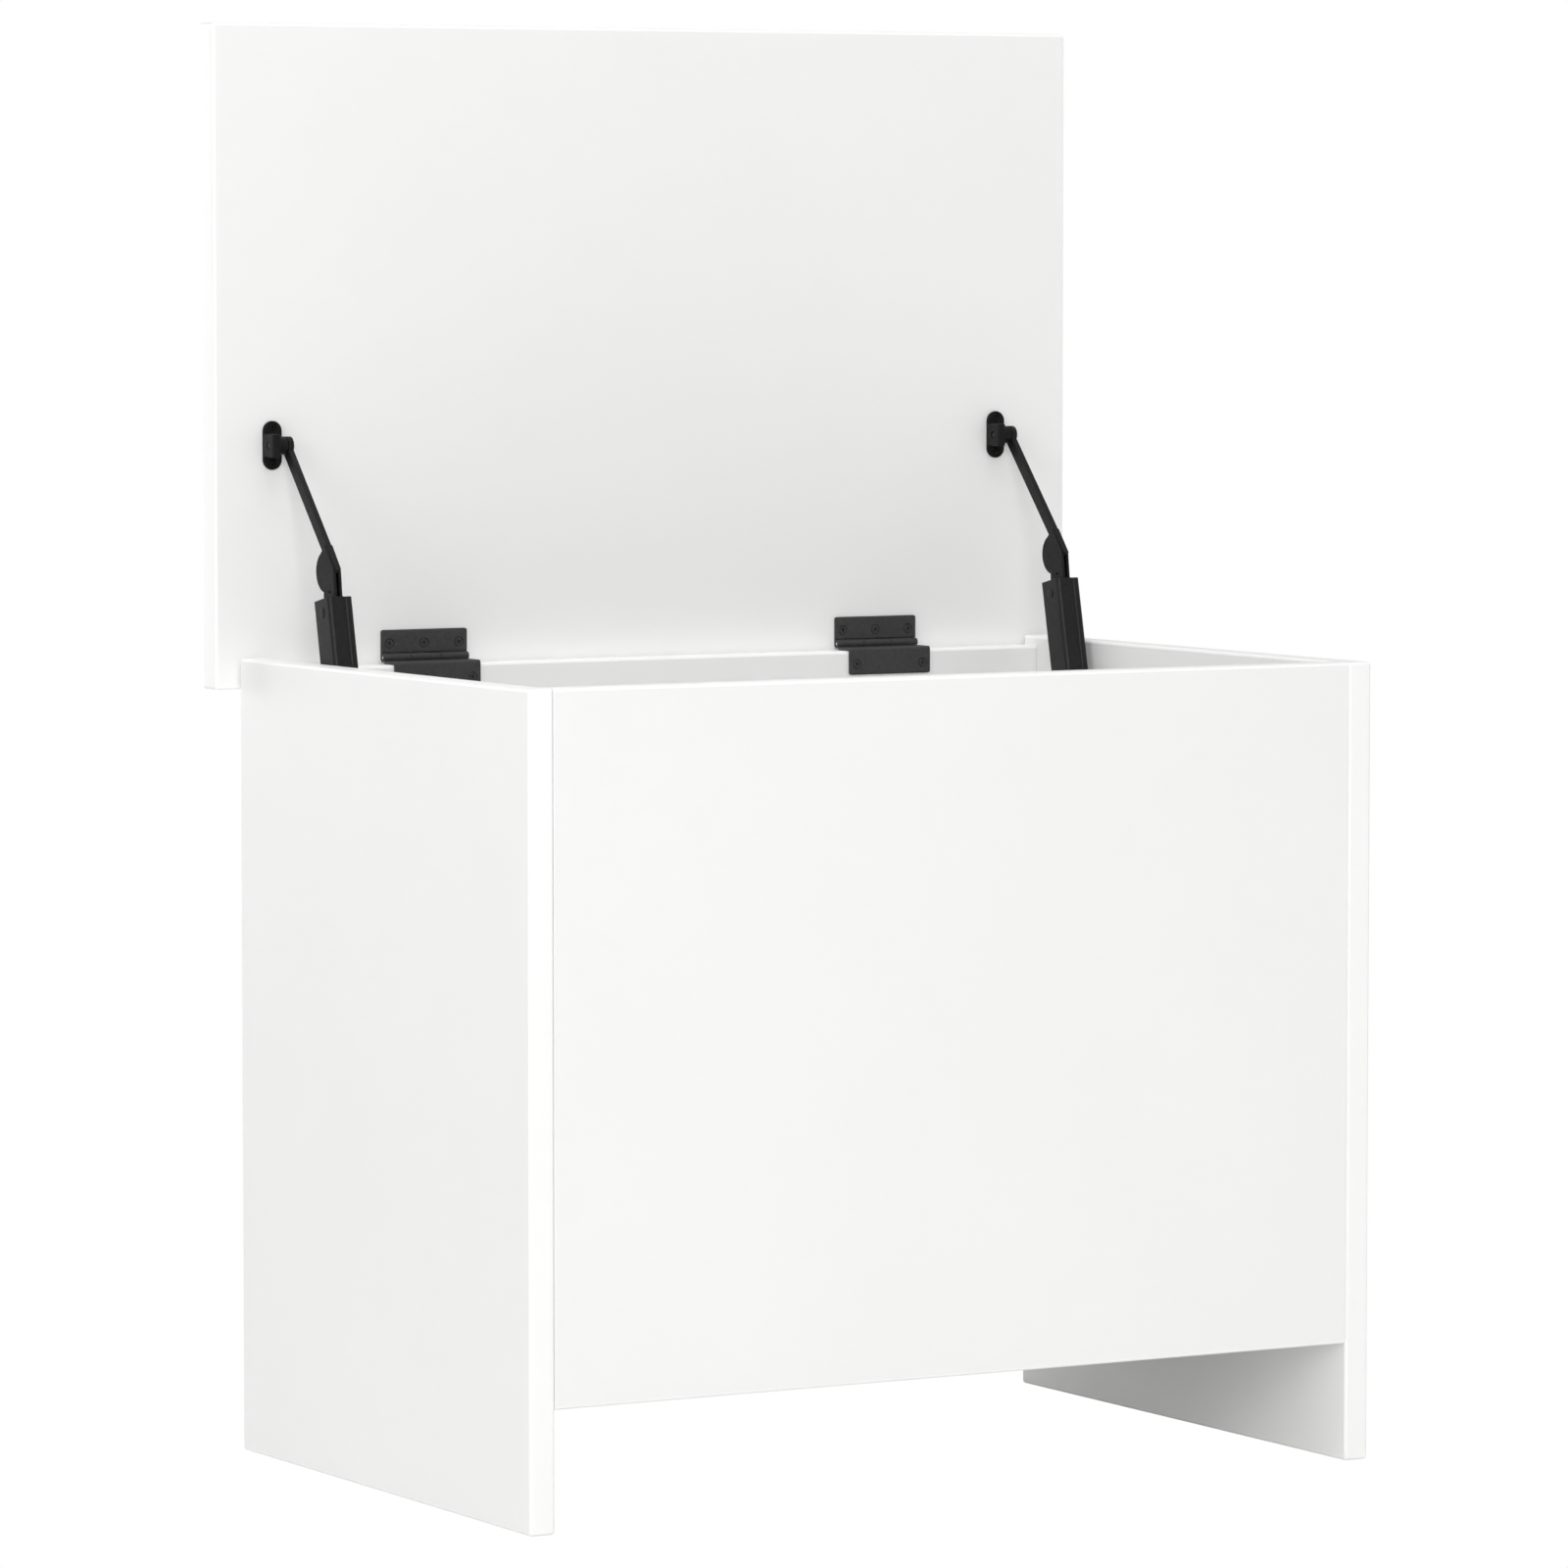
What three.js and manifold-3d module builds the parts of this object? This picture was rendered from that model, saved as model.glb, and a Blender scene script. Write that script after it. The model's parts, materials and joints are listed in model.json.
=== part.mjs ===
// Storage bench: a chest of white boards on two side panels, with a hinged lid that is its seat.
// The lid is open, its rest pose. Millimetres, +Z up, front towards -Y. The origin is on the floor,
// at the middle of the open bench's outline.
import * as THREE from "three";
import { mergeVertices } from "three/addons/utils/BufferGeometryUtils.js";
import Module from "manifold-3d";

const wasm = await Module();
wasm.setup();

// ---------- driving dimensions ----------
const BODY_WIDTH = 570;
const BODY_DEPTH = 370;
const BODY_HEIGHT = 480;
const BOARD = 16; // thickness of every board but the lid
const TOE_SPACE = 71; // floor to the underside of the chest
const BACK_DROP = 6; // the back board stops this far below the sides, for the hinges
const LID_WIDTH = 600;
const LID_DEPTH = 400;
const LID_BOARD = 18;
const OPEN_GAP = 2; // open lid to the back of the body
const GAP = 0.3; // clearance left between pieces that touch

// ---------- places worked out from them ----------
const FRONT = -(BODY_DEPTH + OPEN_GAP + LID_BOARD) / 2;
const BACK = FRONT + BODY_DEPTH;
const INNER_X = BODY_WIDTH / 2 - BOARD; // inner faces of the side panels
const FRONT_INNER = FRONT + BOARD;
const BACK_INNER = BACK - BOARD;
const BACK_TOP = BODY_HEIGHT - BACK_DROP;
const FLOOR_TOP = TOE_SPACE + BOARD; // top of the chest's bottom board

// ---------- hinges ----------
const LID_OFFSET = 2.5; // hinge axis to the lid's underside
const AXIS_Y = BACK + OPEN_GAP - LID_OFFSET;
const AXIS_Z = BODY_HEIGHT + GAP - LID_OFFSET;
const LID_TAIL = 16.6; // how far the lid's back edge reaches past the axis
const HINGE_X = 159.7;
const HINGE_WIDTH = 58.4;
const LEAF = 1.6;
const LID_LEAF_REACH = 16.8; // from the axis, along the lid
const BODY_LEAF_DROP = 18.6; // from the axis, down the back board
const KNUCKLE_RADIUS = 2.4;
const PIN_RADIUS = 1.1;
const BORE_RADIUS = 1.25;
const PIN_SUNK = 0.2; // the pin ends this far inside the outer knuckles
const BODY_KNUCKLE = 20; // length of the middle knuckle
const LID_SCREW_RISE = 8.5; // from the axis
const BODY_SCREW_DROP = 12.2;
const SCREW_SPREAD = 23.8;

// ---------- lid stays ----------
const STAY_X = 255.1; // middle of the arm and the housing
const LEAN = THREE.MathUtils.degToRad(12); // the housing leans back by this much
const KNEE_Y = FRONT + 302;
const KNEE_Z = 509.5;
const TOP_PIVOT_Y = BACK + OPEN_GAP - 8.5;
const TOP_PIVOT_Z = 607.8;
// lid bracket: an oval plate with an upright lug, and a barrel from the lug to the arm
const BRACKET_SHIFT = -6.95; // middle of the plate, from the arm's plane
const BRACKET_WIDTH = 12.4;
const BRACKET_LENGTH = 29.5;
const BRACKET_THICK = 2;
const BRACKET_SCREW = 11.1; // from the plate's middle
const LUG_WIDTH = 5.4;
const LUG_REACH = 6.5; // in front of the top pivot
const LUG_HEIGHT = 14.2;
// arm: a flat bar that leans forward from the top pivot, with a forked head at the knee
const EYE_RADIUS = 5.5; // of the arm's end and of the bracket's barrel
const ARM_THICK = 3.5;
const ARM_WIDTH = 7;
const BAR_LEAN = THREE.MathUtils.degToRad(30); // from the housing's direction
const BAR_OFFSET = 1.7; // the bar's axis passes behind the top pivot
const HEAD_THICK = 5.4;
const FORK_SLOT = 2.2;
const NECK_FRONT = 7.8; // the head's front just above the housing
const NECK_BACK = 6.4;
const BEND = { y: -9.3, z: 25.4 }; // where the head's front turns into the bar's
const KNEE_RADIUS = 6; // smallest radius of the cam about the knee
const BULGE_RADIUS = 12.6;
const BULGE_AHEAD = 1.3;
const BULGE_UP = 25.1;
const CAM_RISE = 2.5;
const CAM_TURN = THREE.MathUtils.degToRad(111.7);
// housing: a channel about the knee, open at its top and down its back
const HOUSING_WIDTH = 16.2;
const HOUSING_DEPTH = 20.6;
const HOUSING_WALL = 1.6;
const HOUSING_TOP = 8.4; // above the knee
const HOUSING_END = 129; // below the knee
const SLOT_WIDTH = 7.4; // down the back, for the arm
const FOOT_BLOCK = 17; // solid lower end of the housing
const FOOT_BELOW = 120; // knee to foot pivot, along the housing
const FOOT_SHIFT = 4; // foot pivot behind the knee
const STEP_WIDTH = 10; // the outer sheet covers this much of the front
const STEP_DEPTH = 0.6;
// inside it
const PLUNGER_TOP = -7; // from the knee
const PLUNGER_RADIUS = 4.9;
const PLUNGER_FLANGE = 4;
const STEM_RADIUS = 2.5;
const STEM_LENGTH = 16;
const SPRING_RADIUS = 3.9;
const SPRING_WIRE = 0.65;
const SPRING_TURNS = 12;
const RIVET_RADIUS = 1.9;
const RIVET_HEAD = 1.1; // how far a rivet's head stands out
const TOP_HEAD_RADIUS = 3.2;
const KNEE_HEAD_RADIUS = 3.4;
// foot bracket on the side panel, with a stub about the foot pin
const FOOT_PLATE_WIDTH = 15;
const FOOT_PLATE_LENGTH = 46;
const FOOT_PLATE_FACE = 2.5; // from the side panel
const FOOT_SCREW = 16; // from the plate's middle
const STUB_RADIUS = 5.5;
const STUB_GAP = 1; // stub to the housing
const FOOT_PIN_GAP = 0.45; // pin to the housing

// ---------- fasteners ----------
const HINGE_SCREW = { head: 2.9, shank: 1.5, length: 13.5 };
const STAY_SCREW = { head: 2.5, shank: 1.4, length: 13 };
const CAM_DISC_RADIUS = 7.5;
const CAM_DISC_DEPTH = 12;
const CAM_INSET = 24; // disc's middle to the board's end
const BOLT_RADIUS = 3;
const BOLT_BITE = 11; // how far the bolt goes into the side panel

// ---------- materials ----------
function finish(color, roughness, metalness) {
  return new THREE.MeshStandardMaterial({ color, roughness, metalness });
}
const board = () => finish(0xf2f2f1, 0.5, 0);
const blackMetal = () => finish(0x3a3a3b, 0.55, 0.6);
const steel = () => finish(0x9a9b9c, 0.35, 0.9);

// ---------- solids ----------
// A closed three.js geometry as a manifold-3d solid.
function solidOf(geometry) {
  const bare = geometry.clone();
  bare.deleteAttribute("normal");
  bare.deleteAttribute("uv");
  const merged = mergeVertices(bare, 1e-4);
  return new wasm.Manifold(
    new wasm.Mesh({
      numProp: 3,
      vertProperties: merged.attributes.position.array,
      triVerts: new Uint32Array(merged.index.array),
    }),
  );
}

function geometryOf(solid) {
  const mesh = solid.getMesh();
  const geometry = new THREE.BufferGeometry();
  geometry.setAttribute("position", new THREE.BufferAttribute(mesh.vertProperties, 3));
  geometry.setIndex(new THREE.BufferAttribute(mesh.triVerts, 1));
  geometry.computeVertexNormals();
  return geometry;
}

// A box between two corners.
function boxSolid(low, high) {
  const size = high.map((value, i) => value - low[i]);
  const middle = high.map((value, i) => (value + low[i]) / 2);
  return solidOf(new THREE.BoxGeometry(...size).translate(...middle));
}

// A cylinder along X from x0 to x1, about the point (y, z).
function rodSolid(radius, x0, x1, y = 0, z = 0, sides = 12) {
  const rod = new THREE.CylinderGeometry(radius, radius, x1 - x0, sides);
  return solidOf(rod.rotateZ(-Math.PI / 2).translate((x0 + x1) / 2, y, z));
}

// An outline drawn in (y, z), extruded along X from x0 to x1.
function sideSolid(shape, x0, x1, curveSegments = 5) {
  const plate = new THREE.ExtrudeGeometry(shape, { depth: x1 - x0, bevelEnabled: false, curveSegments });
  const toSide = new THREE.Matrix4().makeBasis(
    new THREE.Vector3(0, 1, 0),
    new THREE.Vector3(0, 0, 1),
    new THREE.Vector3(1, 0, 0),
  );
  return solidOf(plate.applyMatrix4(toSide).translate(x0, 0, 0));
}

// A countersunk screw pointing along -Z, its head's face at the origin. grow makes the hole for it.
function screwGeometry({ head, shank, length }, grow = 0) {
  const rim = 0.3;
  const top = grow ? 3 : 0; // a hole is open above the head
  const profile = [
    [0, -length - grow],
    [shank + grow, -length + shank],
    [shank + grow, -rim - head + shank],
    [head + grow, -rim],
    [head + grow, top],
    [0, top],
  ];
  const points = profile.map(([radius, z]) => new THREE.Vector2(radius, z));
  return new THREE.LatheGeometry(points, 10).rotateX(Math.PI / 2);
}

// ---------- building the scene ----------
const bench = new THREE.Group();
const lidGroup = new THREE.Group();
lidGroup.position.set(0, AXIS_Y, AXIS_Z);
bench.add(lidGroup);

function addMesh(parent, name, geometry, material) {
  const mesh = new THREE.Mesh(geometry, material);
  mesh.name = name;
  parent.add(mesh);
  return mesh;
}

// Every screw is placed by where its head's face is and which way it points.
const SCREW_TURN = {
  back: new THREE.Euler(Math.PI / 2, 0, 0), // points towards +Y
  left: new THREE.Euler(0, Math.PI / 2, 0), // points towards -X
  right: new THREE.Euler(0, -Math.PI / 2, 0), // points towards +X
};

function addScrew(parent, name, kind, direction, place) {
  const screw = addMesh(parent, name, screwGeometry(kind), blackMetal());
  screw.rotation.copy(SCREW_TURN[direction]);
  screw.position.set(...place);
}

function screwHole(kind, direction, place) {
  const turn = new THREE.Matrix4().makeRotationFromEuler(SCREW_TURN[direction]);
  turn.setPosition(...place);
  return solidOf(screwGeometry(kind, GAP).applyMatrix4(turn));
}

const cut = (solid, tools) => tools.reduce((left, tool) => left.subtract(tool), solid);

// ---------- boards ----------
// Holes are collected for each board while the hardware is made, and cut at the end.
const holes = { left: [], right: [], front: [], back: [], bottom: [], lid: [] };

// How far a fitting is turned about X for the face that its disc opens to.
const CAM_FACE = { back: 0, front: Math.PI, down: -Math.PI / 2 };

// A cam disc let into a board's face, with the bolt that it pulls on, which is screwed into the side
// panel. face is the disc's open side, end is -1 or 1 for the left or right end of the board.
function camFitting(end, face, along, grow) {
  const middleX = end * (INNER_X - GAP - CAM_INSET);
  const top = grow ? 1 : -GAP; // the disc is sunk a little, and its hole is open
  const bottom = -GAP - CAM_DISC_DEPTH - grow;
  const radius = CAM_DISC_RADIUS + grow;
  const disc = new THREE.CylinderGeometry(radius, radius, top - bottom, 16);
  disc.translate(0, (top + bottom) / 2, 0);
  const bolt = new THREE.CylinderGeometry(BOLT_RADIUS + grow, BOLT_RADIUS + grow,
    CAM_INSET + GAP + BOLT_BITE + grow, 8);
  bolt.rotateZ(Math.PI / 2);
  bolt.translate((end * (CAM_INSET + GAP + BOLT_BITE + grow)) / 2, -BOARD / 2, 0);
  const fitting = solidOf(disc).add(solidOf(bolt));
  return geometryOf(fitting).rotateX(CAM_FACE[face]).translate(middleX, along.y, along.z);
}

const CAM_ROWS = [
  { board: "front", face: "back", y: FRONT_INNER, rows: [TOE_SPACE + 45, BODY_HEIGHT - 60] },
  { board: "back", face: "front", y: BACK_INNER, rows: [TOE_SPACE + 45, BACK_TOP - 60] },
];
const BOTTOM_CAM_Y = [FRONT_INNER + 70, BACK_INNER - 70];

function addCams() {
  const places = [];
  for (const { board: name, face, y, rows } of CAM_ROWS)
    rows.forEach((z, i) => places.push({ name, face, y, z, row: i ? "top" : "low" }));
  BOTTOM_CAM_Y.forEach((y, i) =>
    places.push({ name: "bottom", face: "down", y, z: TOE_SPACE, row: i ? "back" : "front" }));
  for (const { name, face, y, z, row } of places)
    for (const [side, end] of [["left", -1], ["right", 1]]) {
      addMesh(bench, `${name}_panel_${side}_${row}_cam`, camFitting(end, face, { y, z }, 0), steel());
      const hole = solidOf(camFitting(end, face, { y, z }, GAP));
      holes[name].push(hole);
      holes[side].push(hole);
    }
}

function addBoards() {
  const inner = INNER_X - GAP;
  const outlines = {
    left: [[-BODY_WIDTH / 2, FRONT, 0], [-INNER_X, BACK, BODY_HEIGHT]],
    right: [[INNER_X, FRONT, 0], [BODY_WIDTH / 2, BACK, BODY_HEIGHT]],
    front: [[-inner, FRONT, TOE_SPACE], [inner, FRONT_INNER, BODY_HEIGHT]],
    back: [[-inner, BACK_INNER, TOE_SPACE], [inner, BACK, BACK_TOP]],
    bottom: [[-inner, FRONT_INNER + GAP, TOE_SPACE], [inner, BACK_INNER - GAP, FLOOR_TOP]],
  };
  const names = { left: "left_side_panel", right: "right_side_panel", front: "front_panel",
    back: "back_panel", bottom: "bottom_panel" };
  for (const [key, [low, high]] of Object.entries(outlines))
    addMesh(bench, names[key], geometryOf(cut(boxSolid(low, high), holes[key])), board());
  const lid = boxSolid(
    [-LID_WIDTH / 2, LID_OFFSET, -LID_TAIL],
    [LID_WIDTH / 2, LID_OFFSET + LID_BOARD, LID_DEPTH - LID_TAIL],
  );
  addMesh(lidGroup, "lid_panel", geometryOf(cut(lid, holes.lid)), board());
}

// ---------- hinges ----------
// Both leaves are drawn from the hinge axis. The lid leaf lies on the lid's underside and has the two
// outer knuckles. The body leaf lies over the back board's top edge and down its inner face, and has
// the middle one.
function lidLeaf() {
  const half = HINGE_WIDTH / 2;
  const plate = boxSolid([-half, LID_OFFSET - GAP - LEAF, 0], [half, LID_OFFSET - GAP, LID_LEAF_REACH]);
  const notch = boxSolid(
    [-BODY_KNUCKLE / 2 - GAP, -5, -5],
    [BODY_KNUCKLE / 2 + GAP, 5, KNUCKLE_RADIUS + GAP],
  );
  const leaf = plate.add(rodSolid(KNUCKLE_RADIUS, -half, half)).subtract(notch);
  return leaf.subtract(rodSolid(BORE_RADIUS, -half - 1, half + 1));
}

function bodyLeaf() {
  const half = HINGE_WIDTH / 2;
  const inner = BACK_INNER - AXIS_Y - GAP;
  const top = BACK_TOP - AXIS_Z + GAP + LEAF;
  const clear = -KNUCKLE_RADIUS - GAP;
  const over = boxSolid([-half, inner - LEAF, top - LEAF], [half, clear, top]);
  const down = boxSolid([-half, inner - LEAF, -BODY_LEAF_DROP], [half, inner, top]);
  const tongue = boxSolid([-BODY_KNUCKLE / 2, clear - 2, top - LEAF], [BODY_KNUCKLE / 2, 0, top]);
  const knuckle = rodSolid(KNUCKLE_RADIUS, -BODY_KNUCKLE / 2, BODY_KNUCKLE / 2);
  return over.add(down).add(tongue).add(knuckle).subtract(rodSolid(BORE_RADIUS, -half, half));
}

function addHinge(side, x) {
  const lidFace = LID_OFFSET - GAP - LEAF;
  const bodyFace = BACK_INNER - AXIS_Y - GAP - LEAF;
  const lidScrews = [-1, 0, 1].map((i) => [i * SCREW_SPREAD, lidFace, LID_SCREW_RISE]);
  const bodyScrews = [-1, 1].map((i) => [i * SCREW_SPREAD, bodyFace, -BODY_SCREW_DROP]);
  const holeAt = (place) => screwHole(HINGE_SCREW, "back", place);

  const onLid = new THREE.Group();
  onLid.position.x = x;
  lidGroup.add(onLid);
  addMesh(onLid, `${side}_hinge_lid_leaf`, geometryOf(cut(lidLeaf(), lidScrews.map(holeAt))), blackMetal());
  lidScrews.forEach((place, i) => {
    addScrew(onLid, `${side}_hinge_lid_screw_${i + 1}`, HINGE_SCREW, "back", place);
    holes.lid.push(holeAt([place[0] + x, place[1], place[2]]));
  });

  const onBody = new THREE.Group();
  onBody.position.set(x, AXIS_Y, AXIS_Z);
  bench.add(onBody);
  const leaf = geometryOf(cut(bodyLeaf(), bodyScrews.map(holeAt)));
  addMesh(onBody, `${side}_hinge_body_leaf`, leaf, blackMetal());
  const pinEnd = HINGE_WIDTH / 2 - PIN_SUNK;
  addMesh(onBody, `${side}_hinge_pin`, geometryOf(rodSolid(PIN_RADIUS, -pinEnd, pinEnd)), steel());
  bodyScrews.forEach((place, i) => {
    addScrew(onBody, `${side}_hinge_body_screw_${i + 1}`, HINGE_SCREW, "back", place);
    holes.back.push(holeAt([place[0] + x, place[1] + AXIS_Y, place[2] + AXIS_Z]));
  });
}

// ---------- lid stays ----------
// The arm, the housing and what it holds are drawn about the knee, with +Z up along the housing and
// +Y to the back of it.
function turned(y, z, angle) {
  return {
    y: y * Math.cos(angle) - z * Math.sin(angle),
    z: y * Math.sin(angle) + z * Math.cos(angle),
  };
}
const topPivot = turned(TOP_PIVOT_Y - KNEE_Y, TOP_PIVOT_Z - KNEE_Z, LEAN); // in the knee's frame

// The arm: a flat bar with a round eye at the lid bracket and a thicker, forked head at the knee. The
// head carries the round bulge behind it and, about the knee, a cam whose radius grows to the back.
function armSolid() {
  const along = { y: Math.sin(BAR_LEAN), z: Math.cos(BAR_LEAN) };
  const behind = { y: Math.cos(BAR_LEAN), z: -Math.sin(BAR_LEAN) };
  const onBar = (z, offset) => { // a point at height z, offset behind the bar's axis
    const back = BAR_OFFSET + offset;
    const start = { y: topPivot.y + behind.y * back, z: topPivot.z + behind.z * back };
    return [start.y + ((z - start.z) * along.y) / along.z, z];
  };
  const half = ARM_WIDTH / 2;

  const bar = new THREE.Shape();
  bar.moveTo(...onBar(BEND.z, -half));
  bar.lineTo(...onBar(BEND.z, half));
  bar.lineTo(...onBar(topPivot.z, half));
  bar.lineTo(...onBar(topPivot.z, -half));
  bar.closePath();

  const head = new THREE.Shape();
  const camSteps = 8;
  head.moveTo(-KNEE_RADIUS, 0);
  head.absarc(0, 0, KNEE_RADIUS, Math.PI, 1.5 * Math.PI, false);
  for (let i = 1; i <= camSteps; i++) {
    const angle = -Math.PI / 2 + (i / camSteps) * CAM_TURN;
    const radius = KNEE_RADIUS + (i / camSteps) * CAM_RISE;
    head.lineTo(radius * Math.cos(angle), radius * Math.sin(angle));
  }
  const bulgeStart = Math.asin((NECK_BACK - BULGE_AHEAD) / BULGE_RADIUS) - Math.PI / 2;
  const bulgeEnd = THREE.MathUtils.degToRad(70);
  head.lineTo(NECK_BACK, BULGE_UP + BULGE_RADIUS * Math.sin(bulgeStart));
  head.absarc(BULGE_AHEAD, BULGE_UP, BULGE_RADIUS, bulgeStart, bulgeEnd, false);
  head.lineTo(...onBar(BULGE_UP + BULGE_RADIUS + half, -half));
  head.lineTo(BEND.y, BEND.z);
  head.lineTo(-NECK_FRONT, HOUSING_TOP);
  head.closePath();

  const halfSlot = FORK_SLOT / 2;
  const fork = boxSolid([-halfSlot, -NECK_FRONT - 5, HOUSING_TOP], [halfSlot, -NECK_FRONT + 5, BEND.z]);
  const solid = sideSolid(bar, -ARM_THICK / 2, ARM_THICK / 2)
    .add(rodSolid(EYE_RADIUS, -ARM_THICK / 2, ARM_THICK / 2, topPivot.y, topPivot.z, 24))
    .add(sideSolid(head, -HEAD_THICK / 2, HEAD_THICK / 2, 9))
    .subtract(fork);
  const through = HEAD_THICK;
  return cut(solid, [
    rodSolid(RIVET_RADIUS + GAP, -through, through),
    rodSolid(RIVET_RADIUS + GAP, -through, through, topPivot.y, topPivot.z),
  ]);
}

// The housing: a channel open at its top and along its back, with a solid lower end. Its front has
// a low step where the outer sheet ends.
function housingSolid() {
  const halfX = HOUSING_WIDTH / 2;
  const halfY = HOUSING_DEPTH / 2;
  const above = HOUSING_TOP + 1;
  const blockTop = -HOUSING_END + FOOT_BLOCK;
  const outer = boxSolid([-halfX, -halfY, -HOUSING_END], [halfX, halfY, HOUSING_TOP]);
  return cut(outer, [
    boxSolid([-halfX + HOUSING_WALL, -halfY + HOUSING_WALL, blockTop],
      [halfX - HOUSING_WALL, halfY - HOUSING_WALL, above]),
    boxSolid([-SLOT_WIDTH / 2, halfY - 2 * HOUSING_WALL, blockTop], [SLOT_WIDTH / 2, halfY + 1, above]),
    boxSolid([-halfX + STEP_WIDTH, -halfY - 1, -HOUSING_END - 1], [halfX + 1, -halfY + STEP_DEPTH, above]),
    rodSolid(RIVET_RADIUS + GAP, -halfX - 1, halfX + 1),
    rodSolid(RIVET_RADIUS + GAP, -halfX - 1, halfX + 1, FOOT_SHIFT, -FOOT_BELOW),
  ]);
}

// A rivet along X with a low head at its end, and at its start too where it has two. The shank
// runs on into the heads.
function rivetSolid(x0, x1, headRadius, twoHeads) {
  const inHead = RIVET_HEAD / 2;
  const shank = rodSolid(RIVET_RADIUS, twoHeads ? x0 - inHead : x0, x1 + inHead);
  const rivet = shank.add(rodSolid(headRadius, x1, x1 + RIVET_HEAD, 0, 0, 14));
  return twoHeads ? rivet.add(rodSolid(headRadius, x0 - RIVET_HEAD, x0, 0, 0, 14)) : rivet;
}

function plungerSolid() {
  const profile = [
    [0, -PLUNGER_FLANGE - STEM_LENGTH],
    [STEM_RADIUS, -PLUNGER_FLANGE - STEM_LENGTH],
    [STEM_RADIUS, -PLUNGER_FLANGE],
    [PLUNGER_RADIUS, -PLUNGER_FLANGE],
    [PLUNGER_RADIUS, 0],
    [0, 0],
  ].map(([radius, z]) => new THREE.Vector2(radius, z));
  return solidOf(new THREE.LatheGeometry(profile, 14).rotateX(Math.PI / 2));
}

// A helix from top down to bottom about the Z axis.
class Helix extends THREE.Curve {
  constructor(radius, top, bottom, turns) {
    super();
    Object.assign(this, { radius, top, bottom, turns });
  }
  getPoint(t, target = new THREE.Vector3()) {
    const angle = t * this.turns * 2 * Math.PI;
    const z = this.top + (this.bottom - this.top) * t;
    return target.set(this.radius * Math.cos(angle), this.radius * Math.sin(angle), z);
  }
}

function springGeometry() {
  const top = PLUNGER_TOP - PLUNGER_FLANGE - SPRING_WIRE - GAP;
  const bottom = -HOUSING_END + FOOT_BLOCK + SPRING_WIRE + GAP;
  const wire = new THREE.Shape().absarc(0, 0, SPRING_WIRE, 0, 2 * Math.PI);
  return new THREE.ExtrudeGeometry(wire, {
    steps: SPRING_TURNS * 8,
    curveSegments: 3,
    extrudePath: new Helix(SPRING_RADIUS, top, bottom, SPRING_TURNS),
  });
}

// An upright plate with round ends: length along Z, width along Y, thickness along X from x0 to x1.
function ovalSolid(width, length, x0, x1) {
  const radius = width / 2;
  const straight = length / 2 - radius;
  const shape = new THREE.Shape();
  shape.absarc(0, straight, radius, 0, Math.PI, false);
  shape.absarc(0, -straight, radius, Math.PI, 2 * Math.PI, false);
  return sideSolid(shape, x0, x1, 7);
}

// On the lid: the bracket, its screws and the rivet that carries the arm, about the top pivot.
function addLidBracket(side, x) {
  const onLid = new THREE.Group();
  onLid.position.set(x, TOP_PIVOT_Y - AXIS_Y, TOP_PIVOT_Z - AXIS_Z);
  lidGroup.add(onLid);
  const back = LID_OFFSET + AXIS_Y - TOP_PIVOT_Y - GAP;
  const face = back - BRACKET_THICK;
  const oval = geometryOf(ovalSolid(BRACKET_WIDTH, BRACKET_LENGTH, -BRACKET_THICK / 2, BRACKET_THICK / 2));
  const plate = oval.rotateZ(Math.PI / 2).translate(BRACKET_SHIFT, (back + face) / 2, 0);
  const lugStart = BRACKET_SHIFT - BRACKET_WIDTH / 2;
  const lugEnd = lugStart + LUG_WIDTH;
  const barrelEnd = -ARM_THICK / 2 - GAP;
  const bracket = solidOf(plate)
    .add(boxSolid([lugStart, -LUG_REACH, -LUG_HEIGHT / 2], [lugEnd, face + 1, LUG_HEIGHT / 2]))
    .add(rodSolid(EYE_RADIUS, lugEnd - 1, barrelEnd, 0, 0, 24))
    .subtract(rodSolid(RIVET_RADIUS + GAP, lugStart - 1, barrelEnd + 1));
  const screws = [-1, 1].map((i) => [BRACKET_SHIFT, face, i * BRACKET_SCREW]);
  const holeAt = (place) => screwHole(STAY_SCREW, "back", place);
  addMesh(onLid, `${side}_stay_lid_bracket`, geometryOf(cut(bracket, screws.map(holeAt))), blackMetal());
  screws.forEach((place, i) => {
    addScrew(onLid, `${side}_stay_lid_screw_${i + 1}`, STAY_SCREW, "back", place);
    holes.lid.push(holeAt([place[0] + x, place[1] + onLid.position.y, place[2] + onLid.position.z]));
  });
  const rivet = rivetSolid(lugStart + GAP, ARM_THICK / 2 + GAP, TOP_HEAD_RADIUS, false);
  addMesh(onLid, `${side}_stay_top_rivet`, geometryOf(rivet), blackMetal());
}

// The arm and the housing with what it holds, about the knee.
function addArmAndHousing(side, x) {
  const knee = new THREE.Group();
  knee.position.set(x, KNEE_Y, KNEE_Z);
  knee.rotation.x = -LEAN;
  bench.add(knee);
  addMesh(knee, `${side}_stay_arm`, geometryOf(armSolid()), blackMetal());
  addMesh(knee, `${side}_stay_housing`, geometryOf(housingSolid()), blackMetal());
  const rivetEnd = HOUSING_WIDTH / 2 + GAP;
  const rivet = rivetSolid(-rivetEnd, rivetEnd, KNEE_HEAD_RADIUS, true);
  addMesh(knee, `${side}_stay_knee_rivet`, geometryOf(rivet), blackMetal());
  const plunger = addMesh(knee, `${side}_stay_plunger`, geometryOf(plungerSolid()), steel());
  plunger.position.z = PLUNGER_TOP;
  addMesh(knee, `${side}_stay_spring`, springGeometry(), steel());
}

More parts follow.
